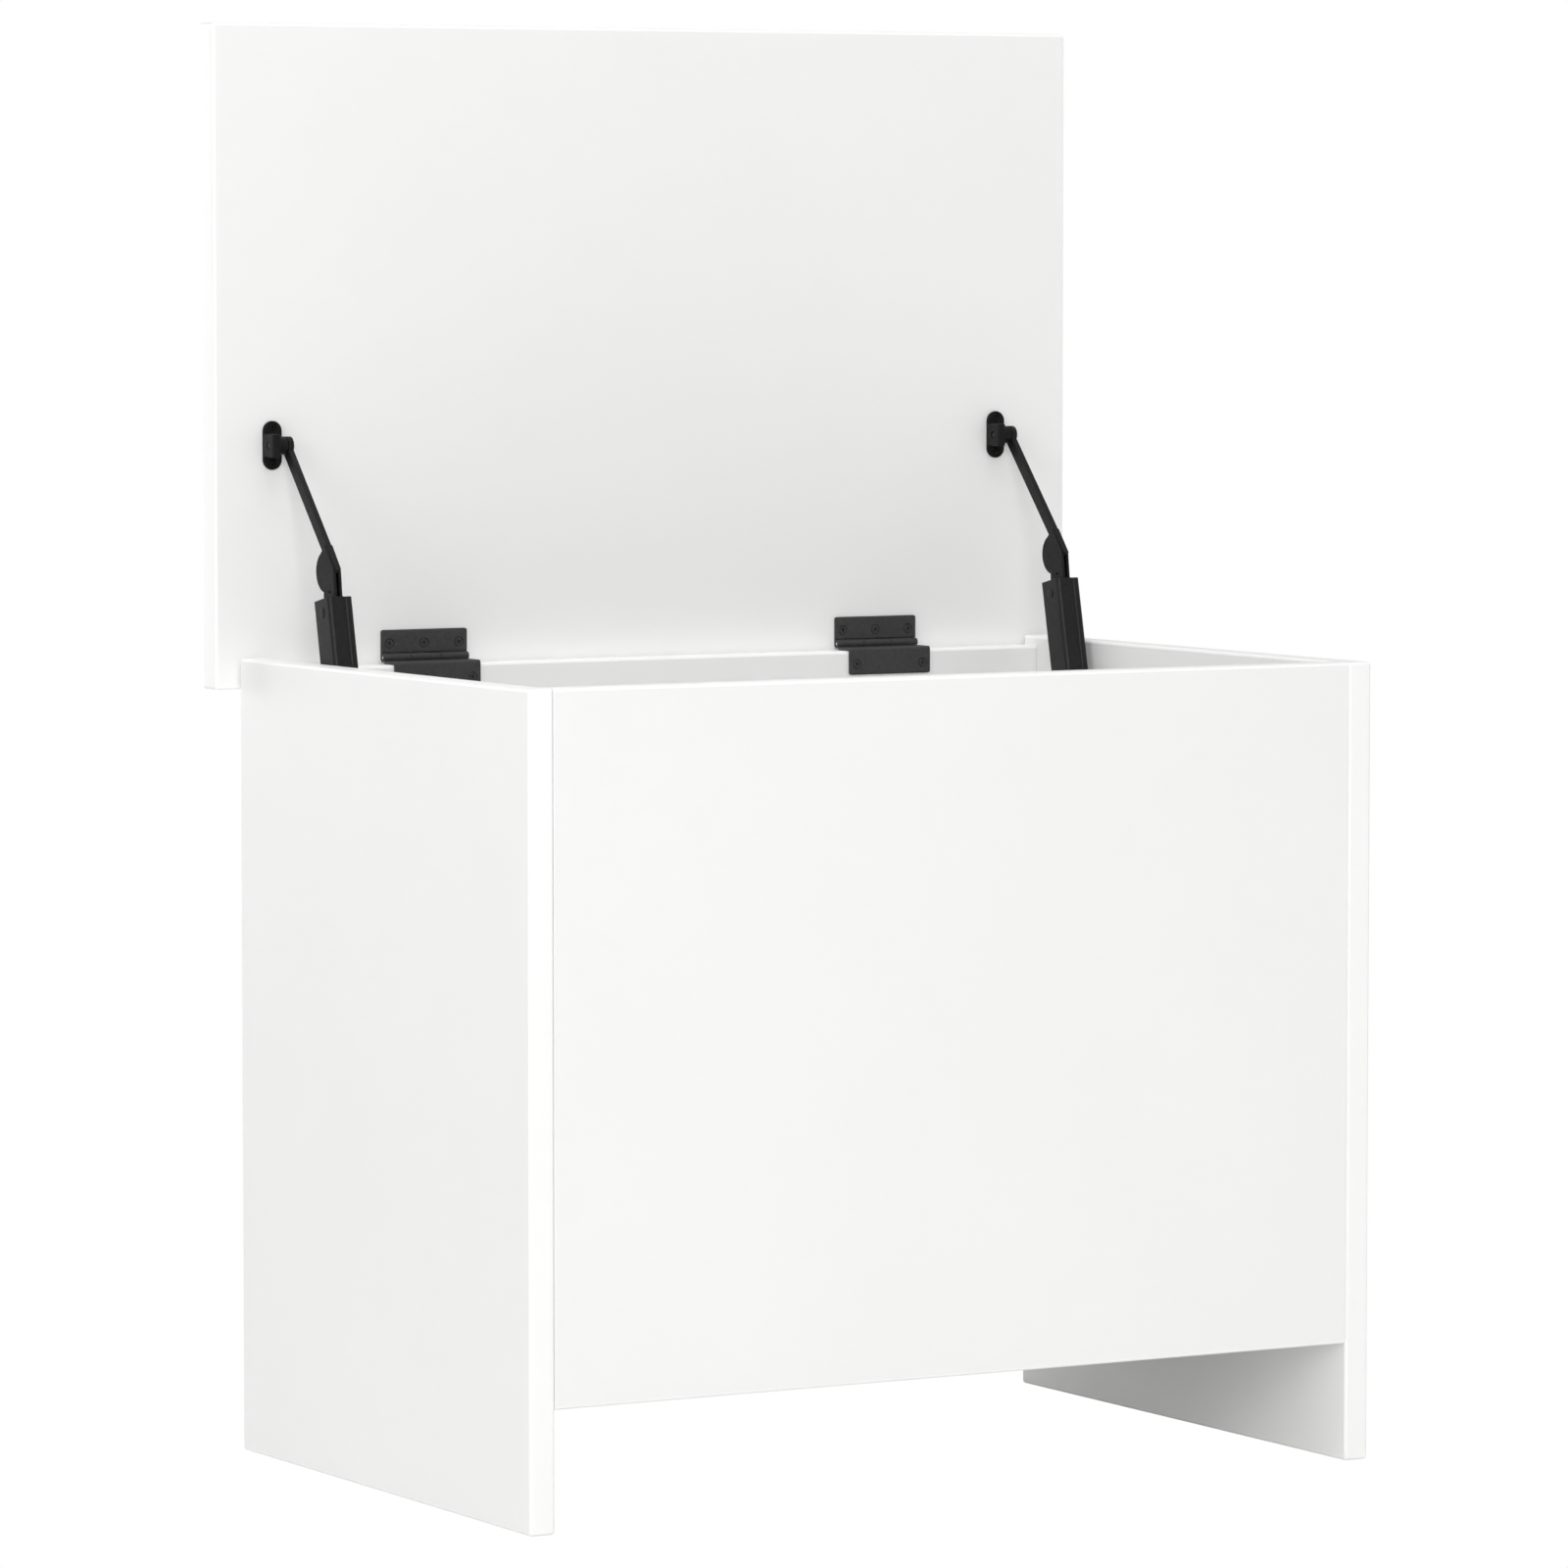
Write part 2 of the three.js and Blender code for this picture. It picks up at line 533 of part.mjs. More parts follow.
// On the side panel: the bracket of the foot pivot. Its stub and pin stop just short of the housing,
// because this pivot is where the four-bar linkage is opened.
function addFootBracket(side, end) {
  const foot = turned(FOOT_SHIFT, -FOOT_BELOW, -LEAN);
  const onPanel = new THREE.Group();
  onPanel.position.set(end * INNER_X, KNEE_Y + foot.y, KNEE_Z + foot.z);
  bench.add(onPanel);
  const inward = (near, far) => (end > 0 ? [-far, -near] : [near, far]); // distances from the panel
  const housingGap = INNER_X - STAY_X - HOUSING_WIDTH / 2;
  const bracket = ovalSolid(FOOT_PLATE_WIDTH, FOOT_PLATE_LENGTH, ...inward(GAP, FOOT_PLATE_FACE))
    .add(rodSolid(STUB_RADIUS, ...inward(FOOT_PLATE_FACE - 1, housingGap - STUB_GAP), 0, 0, 16))
    .subtract(rodSolid(RIVET_RADIUS + GAP, ...inward(0, housingGap + 1)));
  const direction = end > 0 ? "right" : "left";
  const screws = [-1, 1].map((i) => [-end * FOOT_PLATE_FACE, 0, i * FOOT_SCREW]);
  const holeAt = (place) => screwHole(STAY_SCREW, direction, place);
  addMesh(onPanel, `${side}_stay_foot_bracket`, geometryOf(cut(bracket, screws.map(holeAt))), blackMetal());
  screws.forEach((place, i) => {
    addScrew(onPanel, `${side}_stay_foot_screw_${i + 1}`, STAY_SCREW, direction, place);
    const { x, y, z } = onPanel.position;
    holes[side].push(holeAt([place[0] + x, y, place[2] + z]));
  });
  const pin = rodSolid(RIVET_RADIUS, ...inward(GAP, housingGap - FOOT_PIN_GAP));
  addMesh(onPanel, `${side}_stay_foot_pin`, geometryOf(pin), steel());
}

for (const [side, end] of [["left", -1], ["right", 1]]) {
  addHinge(side, end * HINGE_X);
  addLidBracket(side, end * STAY_X);
  addArmAndHousing(side, end * STAY_X);
  addFootBracket(side, end);
}
addCams();
addBoards();

export default bench;
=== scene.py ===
"""Looks of the white storage bench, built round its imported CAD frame.

Each piece is drawn in millimetres about a point of its own, then baked into the shared frame in metres.
Sections: helpers, materials, boards, fasteners, hinges, lid stays, stage.
"""
import json
import math

import bmesh
import bpy
from mathutils import Matrix, Vector


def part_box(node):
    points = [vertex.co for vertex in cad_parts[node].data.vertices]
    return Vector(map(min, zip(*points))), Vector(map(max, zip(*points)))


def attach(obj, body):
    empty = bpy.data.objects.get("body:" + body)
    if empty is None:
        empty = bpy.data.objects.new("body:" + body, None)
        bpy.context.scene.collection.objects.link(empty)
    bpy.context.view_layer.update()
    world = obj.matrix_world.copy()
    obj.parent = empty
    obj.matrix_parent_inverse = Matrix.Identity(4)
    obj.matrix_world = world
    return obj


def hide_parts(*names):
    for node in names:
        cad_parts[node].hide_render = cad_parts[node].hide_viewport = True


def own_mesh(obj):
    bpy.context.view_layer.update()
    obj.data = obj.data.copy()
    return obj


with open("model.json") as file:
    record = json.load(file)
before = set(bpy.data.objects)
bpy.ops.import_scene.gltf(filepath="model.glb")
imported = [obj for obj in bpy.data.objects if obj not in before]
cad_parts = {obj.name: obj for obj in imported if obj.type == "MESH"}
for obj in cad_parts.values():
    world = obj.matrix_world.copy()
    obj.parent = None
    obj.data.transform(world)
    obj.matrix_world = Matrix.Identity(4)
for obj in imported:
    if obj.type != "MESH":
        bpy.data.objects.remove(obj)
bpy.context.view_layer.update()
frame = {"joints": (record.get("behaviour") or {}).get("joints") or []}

MM = 0.001
X, Y, Z = 0, 1, 2
SIDES = (("left", -1), ("right", 1))
JOINTS = {joint["name"]: joint for joint in frame["joints"]}

SAME = 1e-3  # two places closer than this are one
PAST = 1.0  # how far a cutting tool reaches past the face that it opens

# ---------- boards, in millimetres ----------
BOARD_HALF = 8.0  # half the thickness of every board but the lid
EDGE_ROUND = 2.0  # rounding of an exposed board edge
HIDDEN_ROUND = 0.3
SEAM = 0.1  # hairline left between two boards that meet
CAD_GAP = 0.3  # gap that the CAD leaves between them
BOARD_SHARP = 50  # degrees between two faces from which a board's edge is drawn sharp

# ---------- hinges ----------
HINGE_HALF = 29.2  # half its length
LEAF = 1.6
LEAF_CORNER = 1.2
LEAF_ROUND = 0.14
KNUCKLE = 2.4
KNUCKLE_GAP = 0.3
BORE = 1.25
PIN = 1.1
PIN_INSET = 0.2  # from the knuckles' ends
LID_LEAF_FACE = 0.6  # from the hinge axis, towards the lid
LID_LEAF_TOP = 16.8
BODY_LEAF_FACE = -17.4
BODY_LEAF_TOP = -1.9
BODY_LEAF_END = -18.6
BODY_LEAF_FRONT = -2.7  # where the part over the back board stops, in front of the knuckles
MIDDLE_KNUCKLE = 10.0  # half its length
HINGE_SCREW_SPREAD = 23.8
LID_SCREW_RISE = 8.5
BODY_SCREW_DROP = 12.2

# ---------- lid stays ----------
RIVET = 1.9
RIVET_HOLE = 2.2
RIVET_HEAD = 3.2
BARREL = 5.5
BARREL_END = -2.05  # just short of the arm
BRACKET_MIDDLE = -6.95
BRACKET_PLATE = (12.4, 29.5)  # width and length of the oval plate on the lid
BRACKET_FACE = 6.2  # from the top pivot, towards the lid
BRACKET_THICK = 2.0
BRACKET_SCREW_SPREAD = 11.1
LUG = (-13.15, -7.75)
LUG_HALF = 7.1
LUG_FRONT = -6.5
LUG_FOOT = 7.4  # inside the plate
ARM_THICK = 3.5
ARM_WIDTH = 7.0
BAR_LEAN = math.radians(30)
BAR_OFFSET = 1.7
BAR_FOOT = 23.9  # height above the knee at which the bar ends, inside the head
KNEE_RADIUS = 6.0
CAM_RISE = 2.5  # how much the head's outline grows about the knee
CAM_TURN = math.radians(111.7)
BULGE_MIDDLE = (1.3, 25.1)
BULGE = 12.6
BULGE_START = 6.4  # where the bulge leaves the neck
HEAD_THICK = 5.4
FORK_SLOT = (-12.8, -3.6)  # from ahead of the head to the slot's floor
FORK_SLOT_HALF = 0.95
FORK_SLOT_TOP = 22.9
HOUSING_HALF_X = 8.1
HOUSING_HALF_Y = 10.3
HOUSING_TOP = 8.4
HOUSING_END = -129.0
HOUSING_WALL = 1.6
HOUSING_SLOT_HALF = 3.7  # of the gap down its back
BLOCK_TOP = -112.0
FOOT = (4.0, -120.0)  # foot pivot in the knee's frame
SPRING_TOP = -11.95
SPRING_END = -111.05
WIRE = 0.65
COIL = 3.9
COIL_TURNS = 12
PLUNGER_TOP = -7.0
PLUNGER_LENGTH = 20.0
PLUNGER_HEAD = 4.9
PLUNGER_STEM = 2.5
FOOT_PLATE = (15.0, 46.0)  # width and length of the oval plate on the side panel
FOOT_PLATE_SPAN = (0.3, 2.5)  # distances from the side panel, as the next three are
FOOT_STUB_SPAN = (1.5, 4.8)
FOOT_PIN_SPAN = (0.3, 5.35)
FOOT_HOLE_SPAN = (-1.0, 6.0)
FOOT_SCREW_SPREAD = 16.0

# ---------- fasteners: head and shank radius, length ----------
HINGE_SCREW = (2.9, 1.5, 13.5)
STAY_SCREW = (2.5, 1.4, 13.0)
HEAD_GAP = 0.3  # taken off a head's radius, so that it sits in its countersink
HEAD_SUNK = 0.25
HEAD_RIM = 0.35  # height of a head's rim, above its cone
SCREW_BORE = 1.75
LID_BORE = 15.5  # length of the tools that drill the lid and the back, PAST included
BACK_BORE = 14.5
SIDE_BORE = 11.5  # how far the holes in the side panels go in
CAM_DISC = 7.5
CAM_DEPTH = 12.0
CAM_SUNK = 0.3
CAM_SEAT_GAP = 0.25
BOLT = 3.0
BOLT_REACH = 35.3
BOLT_GAP = 0.3
BOLT_CHANNEL = (4, 36)


# ---------- mesh helpers ----------
def new_object(name, bm):
    """A mesh object made from bm, which is freed."""
    bmesh.ops.recalc_face_normals(bm, faces=bm.faces)
    mesh = bpy.data.meshes.new(name)
    bm.to_mesh(mesh)
    bm.free()
    obj = bpy.data.objects.new(name, mesh)
    bpy.context.scene.collection.objects.link(obj)
    return obj


def box_mesh(low, high):
    bm = bmesh.new()
    size = Matrix.Diagonal((*(high - low), 1))
    bmesh.ops.create_cube(bm, size=1, matrix=Matrix.Translation((low + high) / 2) @ size)
    return bm


def block(name, low, high):
    """A box between two corners."""
    return new_object(name, box_mesh(Vector(low), Vector(high)))


def arc(centre, radius, start, end, steps):
    """Points on an arc, both ends included, with its angles in degrees."""
    points = []
    for i in range(steps + 1):
        angle = math.radians(start + (end - start) * i / steps)
        points.append((centre[0] + radius * math.cos(angle), centre[1] + radius * math.sin(angle)))
    return points


def prism(name, outline, low, high, axis=X):
    """An outline of points on the two other axes, in their order, extruded along axis."""
    bm = bmesh.new()
    ends = []
    for level in (low, high):
        ring = []
        for point in outline:
            place = list(point)
            place.insert(axis, level)
            ring.append(bm.verts.new(place))
        ends.append(ring)
    near, far = ends
    bm.faces.new(near)
    bm.faces.new(list(reversed(far)))
    for i in range(len(outline)):
        j = (i + 1) % len(outline)
        bm.faces.new((near[i], far[i], far[j], near[j]))
    return new_object(name, bm)


def lathe(name, profile, steps=32, axis=Z):
    """A profile of (radius, height) points from axis to axis, turned about Z, or about X."""
    bm = bmesh.new()
    turn = [2 * math.pi * i / steps for i in range(steps)]
    rings = []
    for radius, z in profile:
        if radius == 0:
            rings.append([bm.verts.new((0, 0, z))])
        else:
            rings.append([bm.verts.new((radius * math.cos(a), radius * math.sin(a), z)) for a in turn])
    for low, high in zip(rings, rings[1:]):
        for i in range(steps):
            j = (i + 1) % steps
            corners = [low[i % len(low)], low[j % len(low)], high[j % len(high)], high[i % len(high)]]
            corners = list(dict.fromkeys(corners))  # at a point on the axis, two of the four are one
            if len(corners) > 2:
                bm.faces.new(corners)
    obj = new_object(name, bm)
    if axis == X:
        obj.data.transform(Matrix.Rotation(math.pi / 2, 4, "Y"))
    return obj


def rod(name, radius, x0, x1, y=0.0, z=0.0, steps=32):
    """A plain cylinder along X, for cuts and joins."""
    obj = lathe(name, [(0, x0), (radius, x0), (radius, x1), (0, x1)], steps, X)
    obj.data.transform(Matrix.Translation((0, y, z)))
    return obj


def apply_modifiers(obj):
    """Keeps an object's mesh as its modifiers leave it, and drops them."""
    graph = bpy.context.evaluated_depsgraph_get()
    mesh = bpy.data.meshes.new_from_object(obj.evaluated_get(graph))
    obj.modifiers.clear()
    obj.data = mesh


def boolean(obj, tools, operation="DIFFERENCE"):
    """Cuts or joins tools into obj, and removes them."""
    for tool in tools:
        modifier = obj.modifiers.new("cut", "BOOLEAN")
        modifier.operation = operation
        modifier.solver = "EXACT"
        modifier.object = tool
        apply_modifiers(obj)
        bpy.data.objects.remove(tool)
    return obj


def join(obj, *tools):
    return boolean(obj, tools, "UNION")


def soften(obj, width, segments=2, limit=32):
    """Rounds every edge that is sharper than limit degrees."""
    modifier = obj.modifiers.new("round", "BEVEL")
    modifier.width = width
    modifier.segments = segments
    modifier.limit_method = "ANGLE"
    modifier.angle_limit = math.radians(limit)
    modifier.use_clamp_overlap = True
    apply_modifiers(obj)
    return obj


def round_edges(obj, width, segments, chosen):
    """Rounds the edges whose two ends both pass chosen."""
    bm = bmesh.new()
    bm.from_mesh(obj.data)
    edges = [e for e in bm.edges if all(chosen(v.co) for v in e.verts)]
    bmesh.ops.bevel(bm, geom=edges, offset=width, segments=segments, profile=0.5, affect="EDGES")
    bm.to_mesh(obj.data)
    bm.free()
    return obj


def at(point, turn=None):
    """Takes a piece drawn in millimetres to a point of the shared frame, which is in metres."""
    return Matrix.Translation(point) @ (turn or Matrix()) @ Matrix.Scale(MM, 4)


def settle(obj, matrix, body, materials, nodes, flat_above=35):
    """Bakes a piece into the shared frame, shades it, hangs it on its body and hides the CAD nodes that it
    stands for.
    """
    obj.data.transform(matrix)
    obj.data.update()
    for material in materials:
        obj.data.materials.append(material)
    obj.data.shade_smooth()
    obj.data.set_sharp_from_angle(angle=math.radians(flat_above))
    modifier = obj.modifiers.new("flat_faces", "WEIGHTED_NORMAL")
    modifier.keep_sharp = True
    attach(obj, body)
    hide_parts(*nodes)
    return obj


# ---------- materials ----------
class Nodes:
    """A small wrapper that makes and links shader nodes."""

    def __init__(self, name):
        self.material = bpy.data.materials.new(name)
        self.material.use_nodes = True
        self.tree = self.material.node_tree
        self.shader = self.tree.nodes["Principled BSDF"]
        self.place = self.tree.nodes.new("ShaderNodeTexCoord").outputs["Object"]

    def noise(self, scale, detail=4.0, roughness=0.55):
        """Cloudy noise with scale blotches to a metre."""
        node = self.tree.nodes.new("ShaderNodeTexNoise")
        node.inputs["Scale"].default_value = scale
        node.inputs["Detail"].default_value = detail
        node.inputs["Roughness"].default_value = roughness
        self.tree.links.new(self.place, node.inputs["Vector"])
        return node.outputs["Fac"]

    def chips(self, scale):
        """Cells, dark in their middles, as chips of wood pressed together."""
        node = self.tree.nodes.new("ShaderNodeTexVoronoi")
        node.inputs["Scale"].default_value = scale
        self.tree.links.new(self.place, node.inputs["Vector"])
        return node.outputs["Distance"]

    def ramp(self, source, low, high, low_at=0.3, high_at=0.7):
        node = self.tree.nodes.new("ShaderNodeValToRGB")
        node.color_ramp.elements[0].position = low_at
        node.color_ramp.elements[1].position = high_at
        node.color_ramp.elements[0].color = low
        node.color_ramp.elements[1].color = high
        self.tree.links.new(source, node.inputs["Fac"])
        return node.outputs["Color"]

    def bump(self, source, strength, distance, after=None):
        node = self.tree.nodes.new("ShaderNodeBump")
        node.inputs["Strength"].default_value = strength
        node.inputs["Distance"].default_value = distance
        self.tree.links.new(source, node.inputs["Height"])
        if after is not None:
            self.tree.links.new(after, node.inputs["Normal"])
        return node.outputs["Normal"]

    def set(self, **values):
        """Sets plain values on the shader's own sockets."""
        for name, value in values.items():
            self.shader.inputs[name.replace("_", " ")].default_value = value

    def link(self, source, name):
        self.tree.links.new(source, self.shader.inputs[name])


def grey(value, blue=0.995):
    """A grey with its blue scaled, which makes it a touch warm or cool."""
    return (value, value, value * blue, 1)


def melamine(name, shade, roughness, grain):
    """White foil on board: a faint cloudiness, a fine pearl grain and slightly uneven gloss."""
    n = Nodes(name)
    clouds = n.noise(scale=9)
    gloss = n.noise(scale=260, detail=3)
    pearl = n.noise(scale=1500, detail=2)
    ripple = n.noise(scale=34, detail=2)
    n.link(n.ramp(clouds, grey(shade * 0.993), grey(shade * 1.005)), "Base Color")
    n.link(n.ramp(gloss, grey(roughness - 0.05), grey(roughness + 0.06)), "Roughness")
    fine = n.bump(pearl, strength=grain, distance=0.05 * MM)
    n.link(n.bump(ripple, strength=grain * 0.35, distance=0.08 * MM, after=fine), "Normal")
    n.set(IOR=1.46)
    return n.material


def particle_core():
    """Bare particle board inside the drilled holes: pressed chips in mixed browns."""
    n = Nodes("particle_core")
    dark_brown, light_brown = (0.30, 0.20, 0.11, 1), (0.62, 0.47, 0.30, 1)
    chips = n.chips(scale=900)
    n.link(n.ramp(chips, dark_brown, light_brown, low_at=0.1, high_at=0.8), "Base Color")
    n.link(n.ramp(n.noise(scale=800, detail=3), grey(0.75), grey(0.95)), "Roughness")
    n.link(n.bump(chips, strength=0.8, distance=0.3 * MM), "Normal")
    return n.material


def black_coat(name, low, high, roughness):
    """Black powder coat: fine orange peel, a slight mottle and uneven gloss."""
    n = Nodes(name)
    cool = 1.02  # a touch more blue than red
    mottle = n.noise(scale=420, detail=5)
    gloss = n.noise(scale=700, detail=4)
    peel = n.noise(scale=2600, detail=3)
    n.link(n.ramp(mottle, grey(low, cool), grey(high, cool)), "Base Color")
    n.link(n.ramp(gloss, grey(roughness - 0.07), grey(roughness + 0.09)), "Roughness")
    n.link(n.bump(peel, strength=0.30, distance=0.04 * MM), "Normal")
    n.set(IOR=1.30)
    return n.material


def zinc_steel():
    """Zinc-plated steel: a soft bright metal with faint blotches."""
    n = Nodes("zinc_steel")
    blotches = n.noise(scale=300, detail=4)
    gloss = n.noise(scale=900, detail=4)
    plating = n.noise(scale=3000, detail=2)
    n.link(n.ramp(blotches, (0.52, 0.53, 0.55, 1), (0.68, 0.68, 0.67, 1)), "Base Color")
    n.link(n.ramp(gloss, grey(0.26), grey(0.42)), "Roughness")
    n.link(n.bump(plating, strength=0.2, distance=0.02 * MM), "Normal")
    n.set(Metallic=1.0)
    return n.material


BOARD_MATERIALS = (
    melamine("melamine_face", shade=0.925, roughness=0.44, grain=0.10),
    melamine("edge_band", shade=0.985, roughness=0.40, grain=0.05),
    # the rounded edges: the same band, a touch glossier, with a lighter shade that is a painted highlight
    melamine("edge_band_round_painted_highlight", shade=0.99, roughness=0.34, grain=0.03),
    particle_core(),
)
BAND_INDEX, ROUND_HIGHLIGHT_INDEX, CORE_INDEX = 1, 2, 3  # a board's faces have index 0
# one black powder coat in four shades: the hinge coat is lighter than the stays' coat as painted light, and
# the arm and bracket coats are darker as painted shade
HINGE_COAT = black_coat("hinge_powder_coat_painted_light", low=0.044, high=0.056, roughness=0.50)
STAY_COAT = black_coat("stay_powder_coat", low=0.011, high=0.017, roughness=0.36)
ARM_COAT = black_coat("arm_powder_coat_painted_shade", low=0.006, high=0.010, roughness=0.50)
BRACKET_COAT = black_coat("bracket_powder_coat_painted_shade", low=0.003, high=0.006, roughness=0.50)
STEEL = zinc_steel()


# ---------- boards ----------
def board(node, thickness_axis, hidden_ends, holes=()):
    """A board with rounded, banded edges and its drilled holes, where the CAD has a plain one.
    hidden_ends names the faces that meet another board, as (axis, sign): they reach it but for a
    hairline, and stay square."""
    low, high = (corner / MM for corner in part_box(node))
    for axis, sign in hidden_ends:
        reach = CAD_GAP - SEAM
        if sign > 0:
            high[axis] += reach
        else:
            low[axis] -= reach

    def on_hidden(edge):
        return any(
            all(abs(v.co[axis] - (high if sign > 0 else low)[axis]) < SAME for v in edge.verts)
            for axis, sign in hidden_ends
        )

    bm = box_mesh(low, high)
    rounded = [e for e in bm.edges if not on_hidden(e)]
    bmesh.ops.bevel(bm, geom=rounded, offset=EDGE_ROUND, segments=5, profile=0.5, affect="EDGES")
    square = [e for e in bm.edges if on_hidden(e)]
    if square:
        bmesh.ops.bevel(bm, geom=square, offset=HIDDEN_ROUND, segments=2, profile=0.5, affect="EDGES")
    for face in bm.faces:
        straight = max(range(3), key=lambda i: abs(face.normal[i]))
        if abs(face.normal[straight]) < 1 - SAME:
            # rounded edges take the band whose lighter shade is a painted highlight
            face.material_index = ROUND_HIGHLIGHT_INDEX
        elif straight != thickness_axis:
            face.material_index = BAND_INDEX
    obj = new_object(node + "_banded", bm)
    for hole in holes:
        for face in hole.data.polygons:
            face.material_index = CORE_INDEX
    return boolean(obj, holes)


# ---------- fasteners ----------
def cross_recess(arm, half_width, depth):
    """Cutting tools for a cross in a face that looks along +Z."""
    return [block("recess", (-arm, -half_width, -depth), (arm, half_width, PAST)),
            block("recess", (-half_width, -arm, -depth), (half_width, arm, PAST))]


def screw_mesh(name, head, shank, length):
    """A countersunk cross-recess screw that points along -Z, its head's face at the origin."""
    head -= HEAD_GAP
    top = -HEAD_SUNK
    neck = top - HEAD_RIM - head + shank  # where the head's 45 degree cone meets the shank
    root = shank * 0.72
    pitch = 1.15
    tip = 2.4
    chamfer = 0.15
    profile = [(0, -length), (root * 0.5, -length + 0.6 * tip), (root, -length + tip)]
    z = -length + tip
    while z + pitch < neck - 1.0:
        profile += [(shank, z + 0.45 * pitch), (shank, z + 0.55 * pitch), (root, z + pitch)]
        z += pitch
    profile += [(root, neck - 0.6), (shank * 0.86, neck), (head, top - HEAD_RIM), (head, top - chamfer),
                (head - chamfer, top), (0, top)]
    obj = lathe(name, profile, 28)
    cross = cross_recess(arm=head * 0.6, half_width=0.36, depth=1.7)
    return soften(boolean(obj, cross), width=0.06, segments=1, limit=40)


SCREW_MESHES = {kind: screw_mesh("screw", *kind) for kind in (HINGE_SCREW, STAY_SCREW)}
POINTS_BACK = Matrix.Rotation(math.pi / 2, 4, "X")
POINTS_SIDE = {-1: Matrix.Rotation(math.pi / 2, 4, "Y"), 1: Matrix.Rotation(-math.pi / 2, 4, "Y")}


def add_screws(prefix, kind, turn, origin, places, body, coat, first_turn):
    """One screw per place, which is in millimetres from origin. Each is turned further than the last."""
    step = 37
    for i, place in enumerate(places, 1):
        mesh = SCREW_MESHES[kind].data.copy()
        obj = bpy.data.objects.new(f"{prefix}_screw_{i}_threaded", mesh)
        bpy.context.scene.collection.objects.link(obj)
        driven = Matrix.Rotation(math.radians(first_turn + step * i), 4, "Z")
        matrix = at(origin + Vector(place) * MM, turn @ driven)
        settle(obj, matrix, body, (coat,), (f"{prefix}_screw_{i}",))


def countersinks(kind, turn, places):
    """Cutting tools for screw holes through a leaf or a bracket."""
    head, shank, _ = kind
    hole, mouth = shank + 0.3, head + 0.22
    bottom, top = -6.0, 2.0
    cone_low, cone_high = -0.5 - head + shank, -0.35
    profile = [(0, bottom), (hole, bottom), (hole, cone_low), (mouth, cone_high), (mouth, top), (0, top)]
    tools = []
    for place in places:
        tool = lathe("countersink", profile, 40)
        tool.data.transform(Matrix.Translation(place) @ turn)
        tools.append(tool)
    return tools


def screw_bores(nodes, axis, start, end):
    """Holes in a board for screws, from their boxes. start and end bound them along axis."""
    turn = {X: Matrix.Rotation(math.pi / 2, 4, "Y"), Y: Matrix.Rotation(-math.pi / 2, 4, "X")}[axis]
    profile = [(0, start), (SCREW_BORE, start), (SCREW_BORE, end), (0, end)]
    tools = []
    for node in nodes:
        low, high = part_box(node)
        middle = (low + high) / 2 / MM
        middle[axis] = 0
        tool = lathe("bore", profile, 20)
        tool.data.transform(Matrix.Translation(middle) @ turn)
        tools.append(tool)
    return tools


# How far a cam fitting is turned about X, from opening to the back, for each board.
CAM_FACES = {"front": 0.0, "back": math.pi, "bottom": -math.pi / 2}


def cam_places():
    """Every cam fitting as (node, board, side, middle of its open face in metres, turn)."""
    places = []
    for board_name, turn in CAM_FACES.items():
        rows = ("front", "back") if board_name == "bottom" else ("low", "top")
        for side, end in SIDES:
            for row in rows:
                node = f"{board_name}_panel_{side}_{row}_cam"
                low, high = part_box(node)
                middle = (low + high) / 2
                middle.x = high.x - CAM_DISC * MM if end < 0 else low.x + CAM_DISC * MM
                if board_name == "front":
                    middle.y = high.y + CAM_SUNK * MM
                elif board_name == "back":
                    middle.y = low.y - CAM_SUNK * MM
                else:
                    middle.z = low.z - CAM_SUNK * MM
                opened = Matrix.Rotation(turn, 4, "X")
                if end < 0:
                    opened = opened @ Matrix.Rotation(math.pi, 4, "Y")
                places.append((node, board_name, side, middle, opened))
    return places


def cam_tools(places, wanted_board=None, wanted_side=None):
    """Cutting tools for the cam fittings in one board, or for their bolts in one side panel."""
    depth = CAM_DEPTH + CAM_SUNK + 0.3
    radius = CAM_DISC + CAM_SEAT_GAP
    tools = []
    for _, board_name, side, middle, turn in places:
        shapes = []
        if wanted_board == board_name:
            seat = lathe("seat", [(0, -depth), (radius, -depth), (radius, PAST), (0, PAST)], 48)
            seat.data.transform(Matrix.Rotation(-math.pi / 2, 4, "X"))
            shapes.append(seat)
        if wanted_board == board_name or wanted_side == side:
            shapes.append(rod("channel", BOLT + BOLT_GAP, *BOLT_CHANNEL, -BOARD_HALF, 0, 24))
        for tool in shapes:
            tool.data.transform(Matrix.Translation(middle / MM) @ turn)
            tools.append(tool)
    return tools


